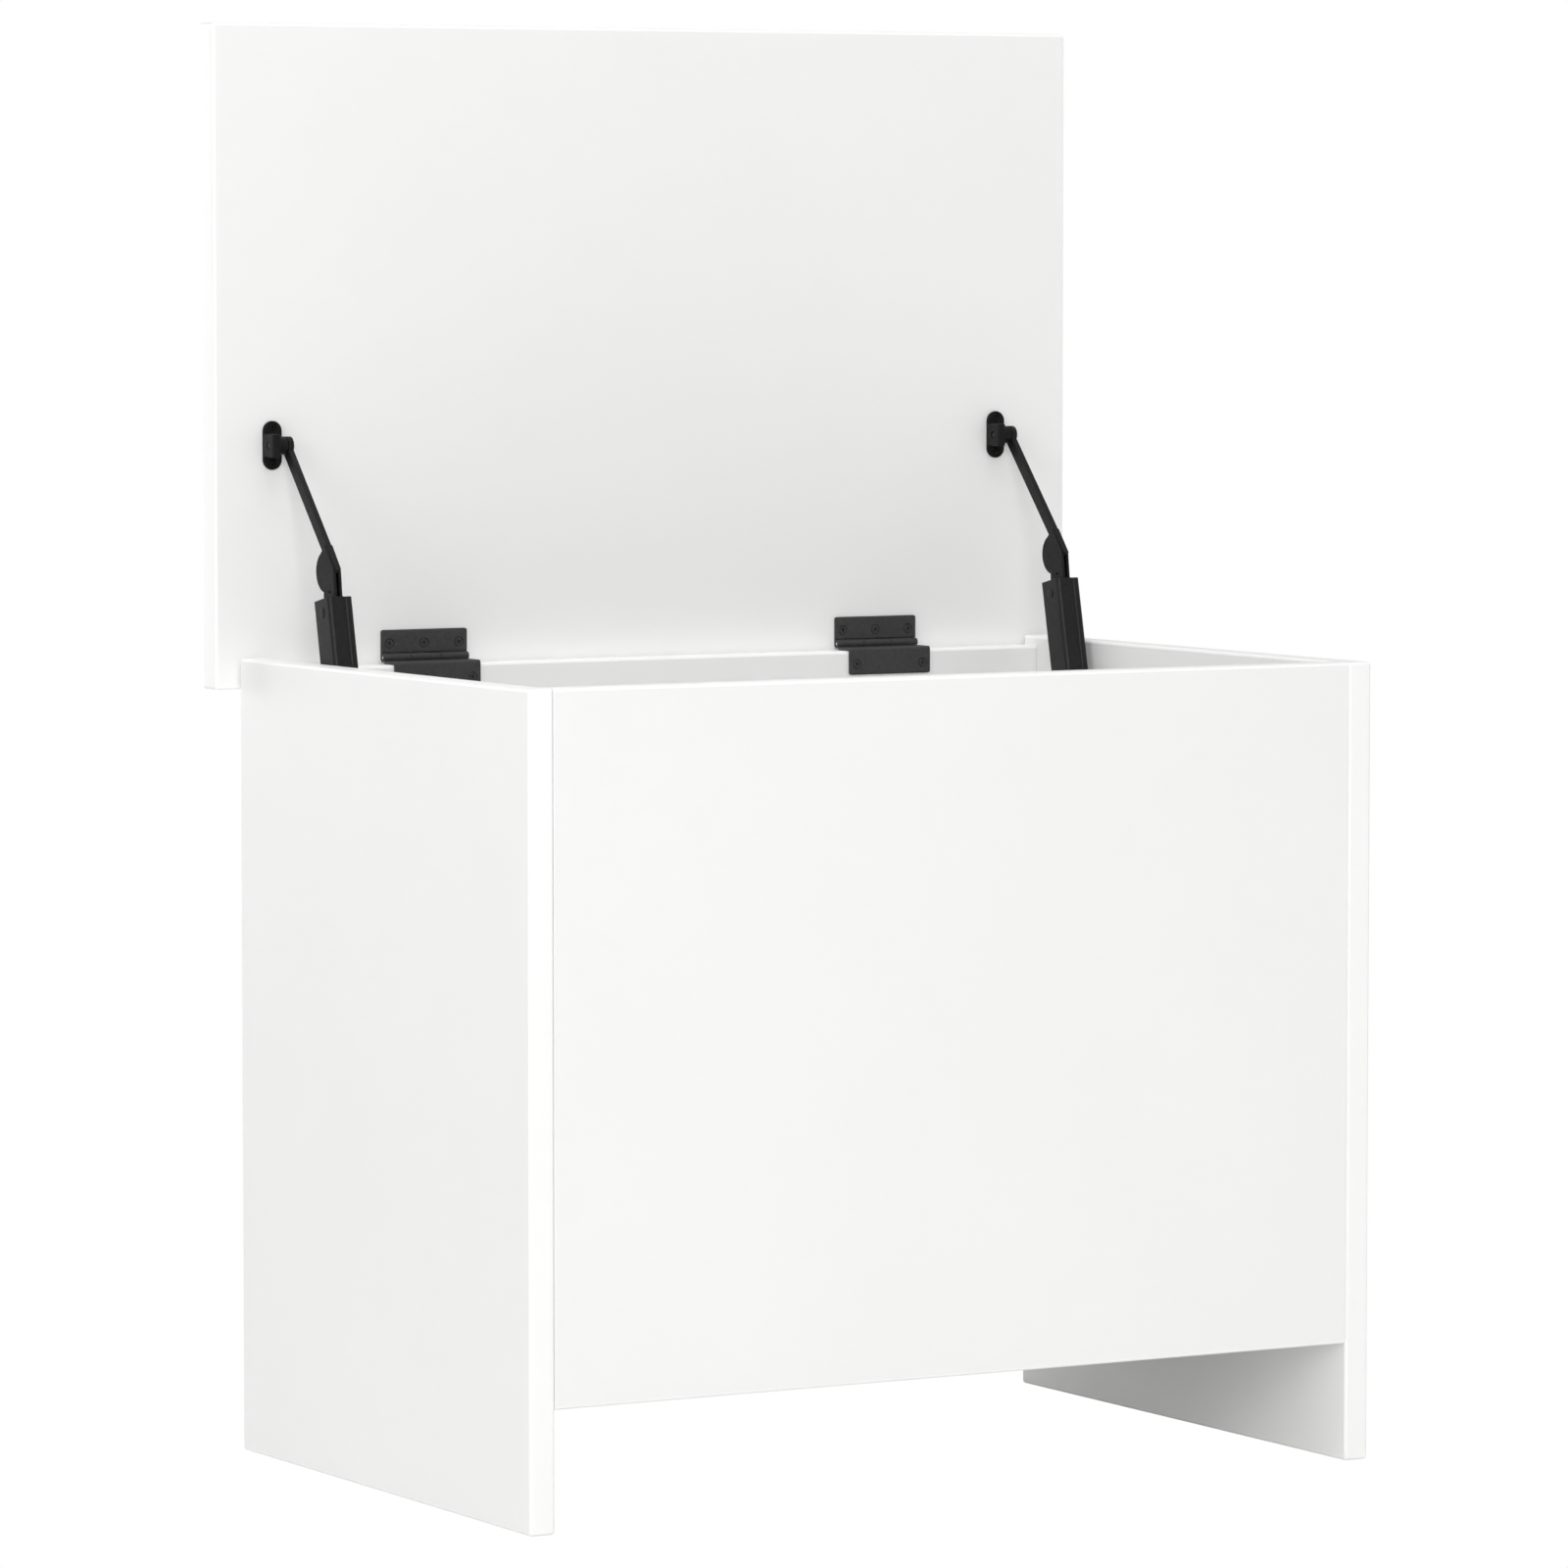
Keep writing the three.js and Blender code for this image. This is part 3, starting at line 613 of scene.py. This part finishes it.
def cam_mesh():
    """A cam disc that opens to +Y with the bolt that it pulls on, towards +X."""
    rim = CAM_DISC
    top = -CAM_SUNK
    bottom = -CAM_DEPTH - CAM_SUNK
    chamfer = 0.6
    dish = top - 0.5  # a ring between the rim and the boss is this low
    boss = 3.6
    boss_top = top - 0.1
    disc = lathe("cam", [
        (0, bottom), (rim - chamfer, bottom), (rim, bottom + chamfer), (rim, dish), (rim - 0.4, top),
        (rim - 1.1, top), (rim - 1.4, dish), (boss + 0.3, dish), (boss, boss_top), (0, boss_top)], 48)
    boolean(disc, cross_recess(arm=2.9, half_width=0.6, depth=3.2))
    disc.data.transform(Matrix.Rotation(-math.pi / 2, 4, "X"))
    start = 2.0  # inside the disc
    neck = 2.2
    neck_end, thick_start, thread_start = 17.0, 18.0, 25.0
    root = 2.1
    pitch = 1.6
    profile = [(0, start), (neck, start), (neck, neck_end), (BOLT, thick_start), (BOLT, thread_start - 0.5)]
    x = thread_start
    while x + pitch < BOLT_REACH - 0.6:
        profile += [(root, x), (BOLT, x + 0.7), (BOLT, x + 0.9)]
        x += pitch
    profile += [(root, x), (root, BOLT_REACH - 0.5), (root - 0.5, BOLT_REACH), (0, BOLT_REACH)]
    bolt = lathe("bolt", profile, 28, X)
    bolt.data.transform(Matrix.Translation((0, -BOARD_HALF, 0)))
    return join(disc, bolt)


def add_cams(places):
    prototype = cam_mesh()
    for node, _, _, middle, turn in places:
        obj = bpy.data.objects.new(node + "_disc", prototype.data.copy())
        bpy.context.scene.collection.objects.link(obj)
        settle(obj, at(middle, turn), "cabinet", (STEEL,), (node,))
    bpy.data.objects.remove(prototype)


# ---------- hinges ----------
def rounded_corners(obj, x_half, z_end):
    """Rounds the two outer corners of a leaf."""
    return round_edges(obj, LEAF_CORNER, 4,
                       lambda v: abs(abs(v.x) - x_half) < SAME and abs(v.z - z_end) < SAME)


def lid_leaf(screws):
    """A plate whose lower edge rolls into the two outer knuckles, with a groove above the roll."""
    roll_start, roll_end = -23.6, -288  # degrees, round under the axis and up its front
    groove_bottom = (1.1, 2.75)
    groove_top = 3.3
    outline = [(LID_LEAF_FACE, LID_LEAF_TOP), (LID_LEAF_FACE + LEAF, LID_LEAF_TOP)]
    outline += arc((0, 0), KNUCKLE, roll_start, roll_end, 36)
    outline += [groove_bottom, (LID_LEAF_FACE, groove_top)]
    obj = prism("lid_leaf", outline, -HINGE_HALF, HINGE_HALF)
    rounded_corners(obj, HINGE_HALF, LID_LEAF_TOP)
    half = MIDDLE_KNUCKLE + KNUCKLE_GAP
    deep = 5  # clear of the knuckles
    notch = block("notch", (-half, -deep, -deep), (half, deep, KNUCKLE + KNUCKLE_GAP))
    bore = rod("bore", BORE, -HINGE_HALF - PAST, HINGE_HALF + PAST)
    boolean(obj, [notch, bore, *countersinks(HINGE_SCREW, POINTS_BACK, screws)])
    return soften(obj, LEAF_ROUND, 2, 38)


def body_leaf(screws):
    """An angle over the back board's top edge, with a tongue that rolls into the middle knuckle."""
    bend = 2.0
    inner_bend = bend - LEAF
    under = BODY_LEAF_TOP - LEAF
    inside = BODY_LEAF_FACE + LEAF
    outline = [(BODY_LEAF_FRONT, under), (BODY_LEAF_FRONT, BODY_LEAF_TOP)]
    outline += arc((BODY_LEAF_FACE + bend, BODY_LEAF_TOP - bend), bend, 90, 180, 8)
    outline += [(BODY_LEAF_FACE, BODY_LEAF_END), (inside, BODY_LEAF_END)]
    outline += arc((inside + inner_bend, under - inner_bend), inner_bend, 180, 90, 4)
    obj = prism("body_leaf", outline, -HINGE_HALF, HINGE_HALF)
    rounded_corners(obj, HINGE_HALF, BODY_LEAF_END)
    inset = 0.02  # keeps the joined faces from lying in one plane
    overlap = -5  # where the tongue starts, inside the angle
    lift_start, lift_end = (-1.4, under + inset), (0.3, -2.9)  # its underside bends up to the roll
    tongue = [(overlap, BODY_LEAF_TOP - inset), (overlap, under + inset), lift_start, lift_end]
    tongue += arc((0, 0), KNUCKLE, -60, 232, 40)
    rolled = prism("tongue", tongue, -MIDDLE_KNUCKLE, MIDDLE_KNUCKLE)
    bore = rod("bore", BORE, -HINGE_HALF, HINGE_HALF)
    boolean(rolled, [bore])
    join(obj, rolled)
    boolean(obj, countersinks(HINGE_SCREW, POINTS_BACK, screws))
    return soften(obj, LEAF_ROUND, 2, 38)


def hinge_pin(name):
    """A pin along X with a shallow groove near each end."""
    end = HINGE_HALF - PIN_INSET
    groove = end - 1.5
    groove_floor = PIN - 0.2
    chamfer = 0.35
    half_pin = [(PIN, 0), (PIN, groove - 0.4), (groove_floor, groove - 0.2), (groove_floor, groove + 0.2),
                (PIN, groove + 0.4), (PIN, end - chamfer), (PIN - chamfer, end), (0, end)]
    other_half = [(r, -x) for r, x in reversed(half_pin[1:])]
    return lathe(name, other_half + half_pin, 28, X)


def add_hinge(side, index):
    low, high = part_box(f"{side}_hinge_lid_leaf")
    origin = Vector(JOINTS["lid_hinge"]["pos_m"])
    origin.x = (low.x + high.x) / 2
    lid_screws = [(i * HINGE_SCREW_SPREAD, LID_LEAF_FACE, LID_SCREW_RISE) for i in (-1, 0, 1)]
    body_screws = [(i * HINGE_SCREW_SPREAD, BODY_LEAF_FACE, -BODY_SCREW_DROP) for i in (-1, 1)]
    settle(lid_leaf(lid_screws), at(origin), "lid", (HINGE_COAT,),
           (f"{side}_hinge_lid_leaf",)).name = f"{side}_hinge_lid_leaf_rolled"
    settle(body_leaf(body_screws), at(origin), "cabinet", (HINGE_COAT,),
           (f"{side}_hinge_body_leaf",)).name = f"{side}_hinge_body_leaf_bent"
    settle(hinge_pin(f"{side}_hinge_pin_turned"), at(origin), "cabinet", (STEEL,),
           (f"{side}_hinge_pin",))
    first_turn = 20 + 55 * index  # degrees, so that no two screws stand alike
    add_screws(f"{side}_hinge_lid", HINGE_SCREW, POINTS_BACK, origin, lid_screws, "lid", HINGE_COAT,
               first_turn)
    add_screws(f"{side}_hinge_body", HINGE_SCREW, POINTS_BACK, origin, body_screws, "cabinet",
               HINGE_COAT, first_turn + 15)


# ---------- lid stays ----------
def oval(width, length, steps=20):
    """An upright outline with round ends."""
    radius = width / 2
    straight = length / 2 - radius
    return arc((0, straight), radius, 0, 180, steps) + arc((0, -straight), radius, 180, 360, steps)


def lid_bracket(screws):
    """An oval plate on the lid, a square lug on it and a barrel from the lug to the arm."""
    plate = [(BRACKET_MIDDLE + u, v) for u, v in oval(*BRACKET_PLATE)]
    obj = soften(prism("bracket", plate, BRACKET_FACE, BRACKET_FACE + BRACKET_THICK, Y), 0.5, 3)
    inset = 0.02  # keeps the lug's side off the plate's edge
    lug = block("lug", (LUG[0] + inset, LUG_FRONT, -LUG_HALF), (LUG[1], LUG_FOOT, LUG_HALF))
    barrel = rod("barrel", BARREL, LUG[1] - PAST, BARREL_END, steps=48)
    join(obj, soften(lug, 0.9, 3), soften(barrel, 0.5, 3))
    hole = rod("hole", RIVET_HOLE, LUG[0] - PAST, 0)
    return boolean(obj, [hole, *countersinks(STAY_SCREW, POINTS_BACK, screws)])


def rivet(name, x0, x1, rise, two_heads):
    """A rivet along X with a low domed head at its end, and at its start too if asked."""
    head = RIVET_HEAD
    dome = [(head, 0), (head, rise * 0.45), (head * 0.9, rise * 0.78), (head * 0.6, rise * 0.95), (0, rise)]
    end = [(RIVET, x1)] + [(r, x1 + x) for r, x in dome]
    chamfer = 0.35
    if two_heads:
        start = [(r, x0 - x) for r, x in reversed(dome)] + [(RIVET, x0)]
    else:
        start = [(0, x0), (RIVET - chamfer, x0), (RIVET, x0 + chamfer)]
    return lathe(name, start + end, 40, X)


def arm(pivot):
    """A flat bar from the top pivot with a thicker, forked head about the knee. The knee is the
    origin, and pivot is the top pivot's (Y, Z)."""
    lean = math.degrees(BAR_LEAN)
    along = Vector((math.sin(BAR_LEAN), math.cos(BAR_LEAN)))
    behind = Vector((math.cos(BAR_LEAN), -math.sin(BAR_LEAN)))

    def on_bar(z, offset):
        """The point at height z on a line along the bar, offset from the bar's middle."""
        start = pivot + behind * (BAR_OFFSET + offset)
        return (start.x + (z - start.y) * along.x / along.y, z)

    half = ARM_WIDTH / 2
    # Where the bar's two sides meet the eye round the pivot, in degrees from square to the bar.
    front_meets = -180 + math.degrees(math.asin(math.sqrt(1 - ((half - BAR_OFFSET) / BARREL) ** 2)))
    back_meets = -math.degrees(math.acos((half + BAR_OFFSET) / BARREL))
    eye = arc(pivot, BARREL, back_meets - lean, 360 + front_meets - lean, 40)
    outline = [on_bar(BAR_FOOT, -half), on_bar(BAR_FOOT, half)] + eye
    obj = soften(prism("bar", outline, -ARM_THICK / 2, ARM_THICK / 2), 0.35, 2, 38)

    head = arc((0, 0), KNEE_RADIUS, 180, 270, 12)
    steps = 24
    for i in range(1, steps + 1):
        angle = -math.pi / 2 + i / steps * CAM_TURN
        radius = KNEE_RADIUS + i / steps * CAM_RISE
        head.append((radius * math.cos(angle), radius * math.sin(angle)))
    bulge_y, bulge_z = BULGE_MIDDLE
    bulge_start = math.degrees(math.asin((BULGE_START - bulge_y) / BULGE)) - 90
    head += arc(BULGE_MIDDLE, BULGE, bulge_start, 70, 30)
    inside_bar = 0.4  # keeps the head's top point off the bar's front face
    brow, neck = (-9.3, 25.4), (-7.8, HOUSING_TOP)
    head += [on_bar(bulge_z + BULGE + half, inside_bar - half), brow, neck]
    join(obj, soften(prism("head", head, -HEAD_THICK / 2, HEAD_THICK / 2), 0.45, 3))

    slot = block("slot", (-FORK_SLOT_HALF, FORK_SLOT[0], HOUSING_TOP),
                 (FORK_SLOT_HALF, FORK_SLOT[1], FORK_SLOT_TOP))
    through = HOUSING_HALF_X + PAST
    knee_hole = rod("hole", RIVET_HOLE, -through, through)
    pivot_hole = rod("hole", RIVET_HOLE, -through, through, pivot.x, pivot.y)
    dot_deep = 1.4
    dot = rod("dot", 1.0, -4, -HEAD_THICK / 2 + dot_deep, -2, 12.3, 24)
    return boolean(obj, [slot, knee_hole, pivot_hole, dot])


def housing():
    """A channel of bent sheet, open at its top and down its back, with a solid foot. The outer sheet
    ends in a low step on the front, beside a shallow groove and rib in the inner one."""
    half_x, half_y, wall, slot = HOUSING_HALF_X, HOUSING_HALF_Y, HOUSING_WALL, HOUSING_SLOT_HALF
    front, low_front = -half_y, -half_y + 0.6
    rib, groove = low_front - 0.22, low_front + 0.3
    outline = [(slot, half_y)]
    outline += arc((half_x - 2, half_y - 2), 2, 90, 0, 6)
    outline += arc((half_x - 1.8, low_front + 1.8), 1.8, 0, -90, 8)
    outline += [(5.1, low_front), (4.6, rib), (4.1, rib), (3.8, low_front),
                (3.6, groove), (3.1, groove), (2.8, low_front), (1.95, low_front)]
    outline += arc((1.5, front + 0.4), 0.4, 0, -90, 4)
    outline += arc((-half_x + 2.5, front + 2.5), 2.5, 270, 180, 9)
    outline += arc((-half_x + 2, half_y - 2), 2, 180, 90, 6)
    outline += [(-slot, half_y), (-slot, half_y - wall)]
    outline += arc((-half_x + wall + 0.7, half_y - wall - 0.7), 0.7, 90, 180, 3)
    outline += arc((-half_x + wall + 1, -half_y + wall + 1), 1, 180, 270, 4)
    outline += arc((half_x - wall - 1, -half_y + wall + 1), 1, 270, 360, 4)
    outline += arc((half_x - wall - 0.7, half_y - wall - 0.7), 0.7, 0, 90, 3)
    outline.append((slot, half_y - wall))
    obj = prism("housing", outline, HOUSING_END, HOUSING_TOP, Z)
    into_wall = 0.3
    foot = block("foot", (-half_x + wall - into_wall, -half_y + wall - into_wall, HOUSING_END + 0.5),
                 (half_x - wall + into_wall, half_y - 0.5, BLOCK_TOP))
    join(obj, foot)
    through = half_x + PAST
    holes = [rod("hole", RIVET_HOLE, -through, through), rod("hole", RIVET_HOLE, -through, through, *FOOT)]
    boolean(obj, holes)
    return soften(obj, 0.2, 2, 50)


def spring(name):
    """A wound wire with closed ends, about Z."""
    per_turn, sides = 28, 10
    closed = 2 * WIRE + 0.05  # pitch of the end turns
    length = SPRING_TOP - SPRING_END
    steps = (COIL_TURNS + 2) * per_turn
    bm = bmesh.new()
    rings = []
    for i in range(steps + 1):
        turn = i / per_turn
        middle = min(max(turn - 1, 0), COIL_TURNS)
        z = SPRING_TOP - min(turn, 1) * closed - middle / COIL_TURNS * (length - 2 * closed)
        z -= max(turn - 1 - COIL_TURNS, 0) * closed
        angle = 2 * math.pi * turn
        ring = []
        for k in range(sides):
            around = 2 * math.pi * k / sides
            r = COIL + WIRE * math.cos(around)
            ring.append(bm.verts.new((r * math.cos(angle), r * math.sin(angle), z + WIRE * math.sin(around))))
        rings.append(ring)
    for near, far in zip(rings, rings[1:]):
        for k in range(sides):
            j = (k + 1) % sides
            bm.faces.new((near[k], near[j], far[j], far[k]))
    bm.faces.new(rings[0])
    bm.faces.new(list(reversed(rings[-1])))
    return new_object(name, bm)


def plunger(name):
    """A grooved head that the cam pushes on, with a stem inside the spring."""
    top, bottom = PLUNGER_TOP, PLUNGER_TOP - PLUNGER_LENGTH
    head, stem = PLUNGER_HEAD, PLUNGER_STEM
    under = top - 4  # of the head
    neck = stem - 0.3
    groove = head - 0.3
    chamfer = 0.4
    return lathe(name, [
        (0, bottom), (stem - chamfer, bottom), (stem, bottom + chamfer), (stem, under - 1.2),
        (neck, under - 0.6), (neck, under), (head - chamfer, under), (head, under + chamfer),
        (head, top - 2.2), (groove, top - 2.0), (groove, top - 1.6), (head, top - 1.4),
        (head, top - 0.5), (head - 0.5, top), (2.0, top - 0.15), (0, top - 0.3)], 36)


def foot_bracket(end, screws, turn):
    """An oval plate on the side panel with a stub about the foot pin."""
    plate_span, stub_span, hole_span = (
        sorted((-end * near, -end * far)) for near, far in (FOOT_PLATE_SPAN, FOOT_STUB_SPAN, FOOT_HOLE_SPAN)
    )
    plate = soften(prism("plate", oval(*FOOT_PLATE, 24), *plate_span), 0.5, 3)
    stub = soften(rod("stub", BARREL, *stub_span, steps=48), 0.4, 2)
    join(plate, stub)
    hole = rod("hole", RIVET_HOLE, *hole_span)
    return boolean(plate, [hole, *countersinks(STAY_SCREW, turn, screws)])


def foot_pin(name, end):
    """A pin from the side panel inwards."""
    start, reach = FOOT_PIN_SPAN
    chamfer = 0.4
    profile = [(0, start), (RIVET, start), (RIVET, reach - chamfer), (RIVET - chamfer, reach), (0, reach)]
    pin = lathe(name, profile, 32, X)
    pin.data.transform(Matrix.Scale(-end, 4, (1, 0, 0)))
    if end > 0:
        pin.data.flip_normals()
    return pin


def add_stay(side, end):
    """One lid stay. Its arm, housing, plunger and spring are drawn about the knee, down the housing."""
    pivot = Vector(JOINTS[f"{side}_stay_top_pivot"]["pos_m"])
    knee = Vector(JOINTS[f"{side}_stay_knee"]["pos_m"])
    down = Vector(JOINTS[f"{side}_stay_plunger_slide"]["axis"])
    lean = Matrix.Rotation(-math.atan2(-down.y, -down.z), 4, "X")
    arm_body, housing_body = f"{side}_stay_arm", f"{side}_stay_housing"

    screws = [(BRACKET_MIDDLE, BRACKET_FACE, i * BRACKET_SCREW_SPREAD) for i in (-1, 1)]
    bracket = settle(lid_bracket(screws), at(pivot), "lid", (BRACKET_COAT,),
                     (f"{side}_stay_lid_bracket",))
    bracket.name = f"{side}_stay_lid_bracket_formed"
    add_screws(f"{side}_stay_lid", STAY_SCREW, POINTS_BACK, pivot, screws, "lid", BRACKET_COAT, 10 + 30 * end)
    inside_lug = 0.3
    top = rivet(f"{side}_stay_top_rivet_domed", LUG[0] + inside_lug, 2.05, rise=1.1, two_heads=False)
    settle(top, at(pivot), "lid", (STAY_COAT,), (f"{side}_stay_top_rivet",))

    in_knee = at(knee, lean)
    local = in_knee.inverted() @ pivot
    lever = settle(arm(Vector((local.y, local.z))), in_knee, arm_body, (ARM_COAT,),
                   (f"{side}_stay_arm",))
    lever.name = f"{side}_stay_arm_forked"
    channel = settle(housing(), in_knee, housing_body, (STAY_COAT,), (f"{side}_stay_housing",))
    channel.name = f"{side}_stay_housing_folded"
    reach = HOUSING_HALF_X + 0.05
    low_rivet = rivet(f"{side}_stay_knee_rivet_domed", -reach, reach, rise=0.4, two_heads=True)
    settle(low_rivet, in_knee, housing_body, (STAY_COAT,), (f"{side}_stay_knee_rivet",))
    settle(plunger(f"{side}_stay_plunger_turned"), in_knee, f"{side}_stay_plunger",
           (STEEL,), (f"{side}_stay_plunger",))
    coil = settle(spring(f"{side}_stay_spring_wound"), in_knee, housing_body, (STEEL,),
                  (f"{side}_stay_spring",))
    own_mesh(coil)

    low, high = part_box(f"{side}_stay_foot_bracket")
    foot = (low + high) / 2
    panel_low, panel_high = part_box(f"{side}_side_panel")
    foot.x = panel_high.x if end < 0 else panel_low.x
    turn = POINTS_SIDE[end]
    foot_screws = [(-end * FOOT_PLATE_SPAN[1], 0, i * FOOT_SCREW_SPREAD) for i in (-1, 1)]
    plate = settle(foot_bracket(end, foot_screws, turn), at(foot), "cabinet", (STAY_COAT,),
                   (f"{side}_stay_foot_bracket",))
    plate.name = f"{side}_stay_foot_bracket_formed"
    add_screws(f"{side}_stay_foot", STAY_SCREW, turn, foot, foot_screws, "cabinet", STAY_COAT, 5)
    settle(foot_pin(f"{side}_stay_foot_pin_turned", end), at(foot), "cabinet", (STEEL,),
           (f"{side}_stay_foot_pin",))


# ---------- building it ----------
def screw_names(group, count):
    """The names of a group's screws on both sides."""
    return [f"{side}_{group}_screw_{i}" for side, _ in SIDES for i in range(1, count + 1)]


def add_boards():
    """The six boards with their holes, and the cam fittings. Each job is (body, thickness axis, faces
    that meet another board, holes)."""
    cams = cam_places()
    lid_low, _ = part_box("lid_panel")
    lid_start = lid_low.y / MM - PAST
    lid_screws = screw_names("hinge_lid", 3) + screw_names("stay_lid", 2)
    lid_holes = screw_bores(lid_screws, Y, lid_start, lid_start + LID_BORE)
    back_low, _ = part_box("back_panel")
    back_start = back_low.y / MM - PAST
    back_holes = screw_bores(screw_names("hinge_body", 2), Y, back_start, back_start + BACK_BORE)
    ends = ((X, -1), (X, 1))
    jobs = {
        "front_panel": ("cabinet", Y, ends, cam_tools(cams, wanted_board="front")),
        "back_panel": ("cabinet", Y, ends, cam_tools(cams, wanted_board="back") + back_holes),
        "bottom_panel": ("cabinet", Z, (*ends, (Y, -1), (Y, 1)), cam_tools(cams, wanted_board="bottom")),
        "lid_panel": ("lid", Y, (), lid_holes),
    }
    for side, end in SIDES:
        low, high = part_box(f"{side}_side_panel")
        inner = (high.x if end < 0 else low.x) / MM
        start, stop = sorted((inner - end * PAST, inner + end * SIDE_BORE))
        names = [f"{side}_stay_foot_screw_{i}" for i in (1, 2)]
        holes = screw_bores(names, X, start, stop) + cam_tools(cams, wanted_side=side)
        jobs[f"{side}_side_panel"] = ("cabinet", X, (), holes)
    for node, (body, axis, hidden, holes) in jobs.items():
        piece = board(node, axis, hidden, holes)
        settle(piece, Matrix.Scale(MM, 4), body, BOARD_MATERIALS, (node,), BOARD_SHARP)
    add_cams(cams)


add_boards()
for index, (side, end) in enumerate(SIDES):
    add_hinge(side, index)
    add_stay(side, end)
for prototype in SCREW_MESHES.values():
    bpy.data.objects.remove(prototype)


# ---------- stage: floor, light and camera ----------
ROOM_LIGHT = 0.50  # the room's own light
SEEN_WHITE = 1.0  # the seamless white that the camera sees behind and below
FLOOR_BOUNCE = 0.90
FLOOR_RADIUS = 9
LIGHTS = {  # name: place, height of the point on Z that it looks at, size, watts
    "left": ((-4.1, -2.1, 1.8), 0.45, 1.8, 24),
    "front": ((-1.9, -4.0, 1.7), 0.45, 2.0, 58),
    "overhead": ((-0.4, -0.75, 4.1), 0.4, 2.6, 44),
    "behind": ((-1.2, 4.6, 1.0), 0.35, 2.2, 46),
    "right": ((4.2, 1.4, 1.8), 0.4, 2.2, 20),
}
CAMERA_PLACE = (-2.35685, -4.0856, 0.73804)
CAMERA_LENS = 180.563
LOOKS_DOWN = math.radians(4.0398)
LOOKS_RIGHT = math.radians(29.9001)


def camera_switch(tree, seen, lit):
    """Mixes two shaders: the first for what the camera sees, the second for the light it gives."""
    mix = tree.nodes.new("ShaderNodeMixShader")
    path = tree.nodes.new("ShaderNodeLightPath")
    tree.links.new(path.outputs["Is Camera Ray"], mix.inputs["Fac"])
    tree.links.new(lit, mix.inputs[1])
    tree.links.new(seen, mix.inputs[2])
    return mix.outputs["Shader"]


def add_floor():
    """A pale floor that takes light and shadow but looks as white as the background."""
    bm = bmesh.new()
    bmesh.ops.create_circle(bm, cap_ends=True, segments=96, radius=FLOOR_RADIUS)
    floor = new_object("floor", bm)
    n = Nodes("floor_white")
    n.link(n.ramp(n.noise(scale=3), grey(FLOOR_BOUNCE - 0.01), grey(FLOOR_BOUNCE + 0.01)), "Base Color")
    n.set(Roughness=0.9)
    glow = n.tree.nodes.new("ShaderNodeEmission")
    glow.inputs["Strength"].default_value = SEEN_WHITE
    mixed = camera_switch(n.tree, glow.outputs["Emission"], n.shader.outputs["BSDF"])
    n.tree.links.new(mixed, n.tree.nodes["Material Output"].inputs["Surface"])
    floor.data.materials.append(n.material)


def add_light(name, location, target_height, size, power):
    """A round soft light that looks at a point above the origin."""
    light = bpy.data.lights.new(name, "AREA")
    light.shape = "DISK"
    light.size = size
    light.energy = power
    obj = bpy.data.objects.new(name, light)
    obj.location = location
    direction = Vector((0, 0, target_height)) - Vector(location)
    obj.rotation_euler = direction.to_track_quat("-Z", "Y").to_euler()
    bpy.context.scene.collection.objects.link(obj)


def add_world():
    """Soft white light from all round, behind a background that is seen as plain white."""
    world = bpy.data.worlds.new("soft_white_room")
    world.use_nodes = True
    tree = world.node_tree
    lit = tree.nodes["Background"]
    lit.inputs["Color"].default_value = (1, 1, 1, 1)
    lit.inputs["Strength"].default_value = ROOM_LIGHT
    seen = tree.nodes.new("ShaderNodeBackground")
    seen.inputs["Color"].default_value = (1, 1, 1, 1)
    seen.inputs["Strength"].default_value = SEEN_WHITE
    mixed = camera_switch(tree, seen.outputs["Background"], lit.outputs["Background"])
    tree.links.new(mixed, tree.nodes["World Output"].inputs["Surface"])
    bpy.context.scene.world = world


def add_camera():
    """The view from the front left, level with the upper part of the open bench."""
    camera = bpy.data.cameras.new("camera")
    camera.sensor_width = 36
    camera.lens = CAMERA_LENS
    camera.clip_start = 0.1
    camera.clip_end = 60
    obj = bpy.data.objects.new("camera", camera)
    obj.location = CAMERA_PLACE
    obj.rotation_euler = (math.pi / 2 - LOOKS_DOWN, 0, -LOOKS_RIGHT)
    bpy.context.scene.collection.objects.link(obj)
    bpy.context.scene.camera = obj


add_floor()
add_world()
for light_name, facts in LIGHTS.items():
    add_light(light_name, *facts)
add_camera()
bpy.context.scene.view_settings.view_transform = "Standard"
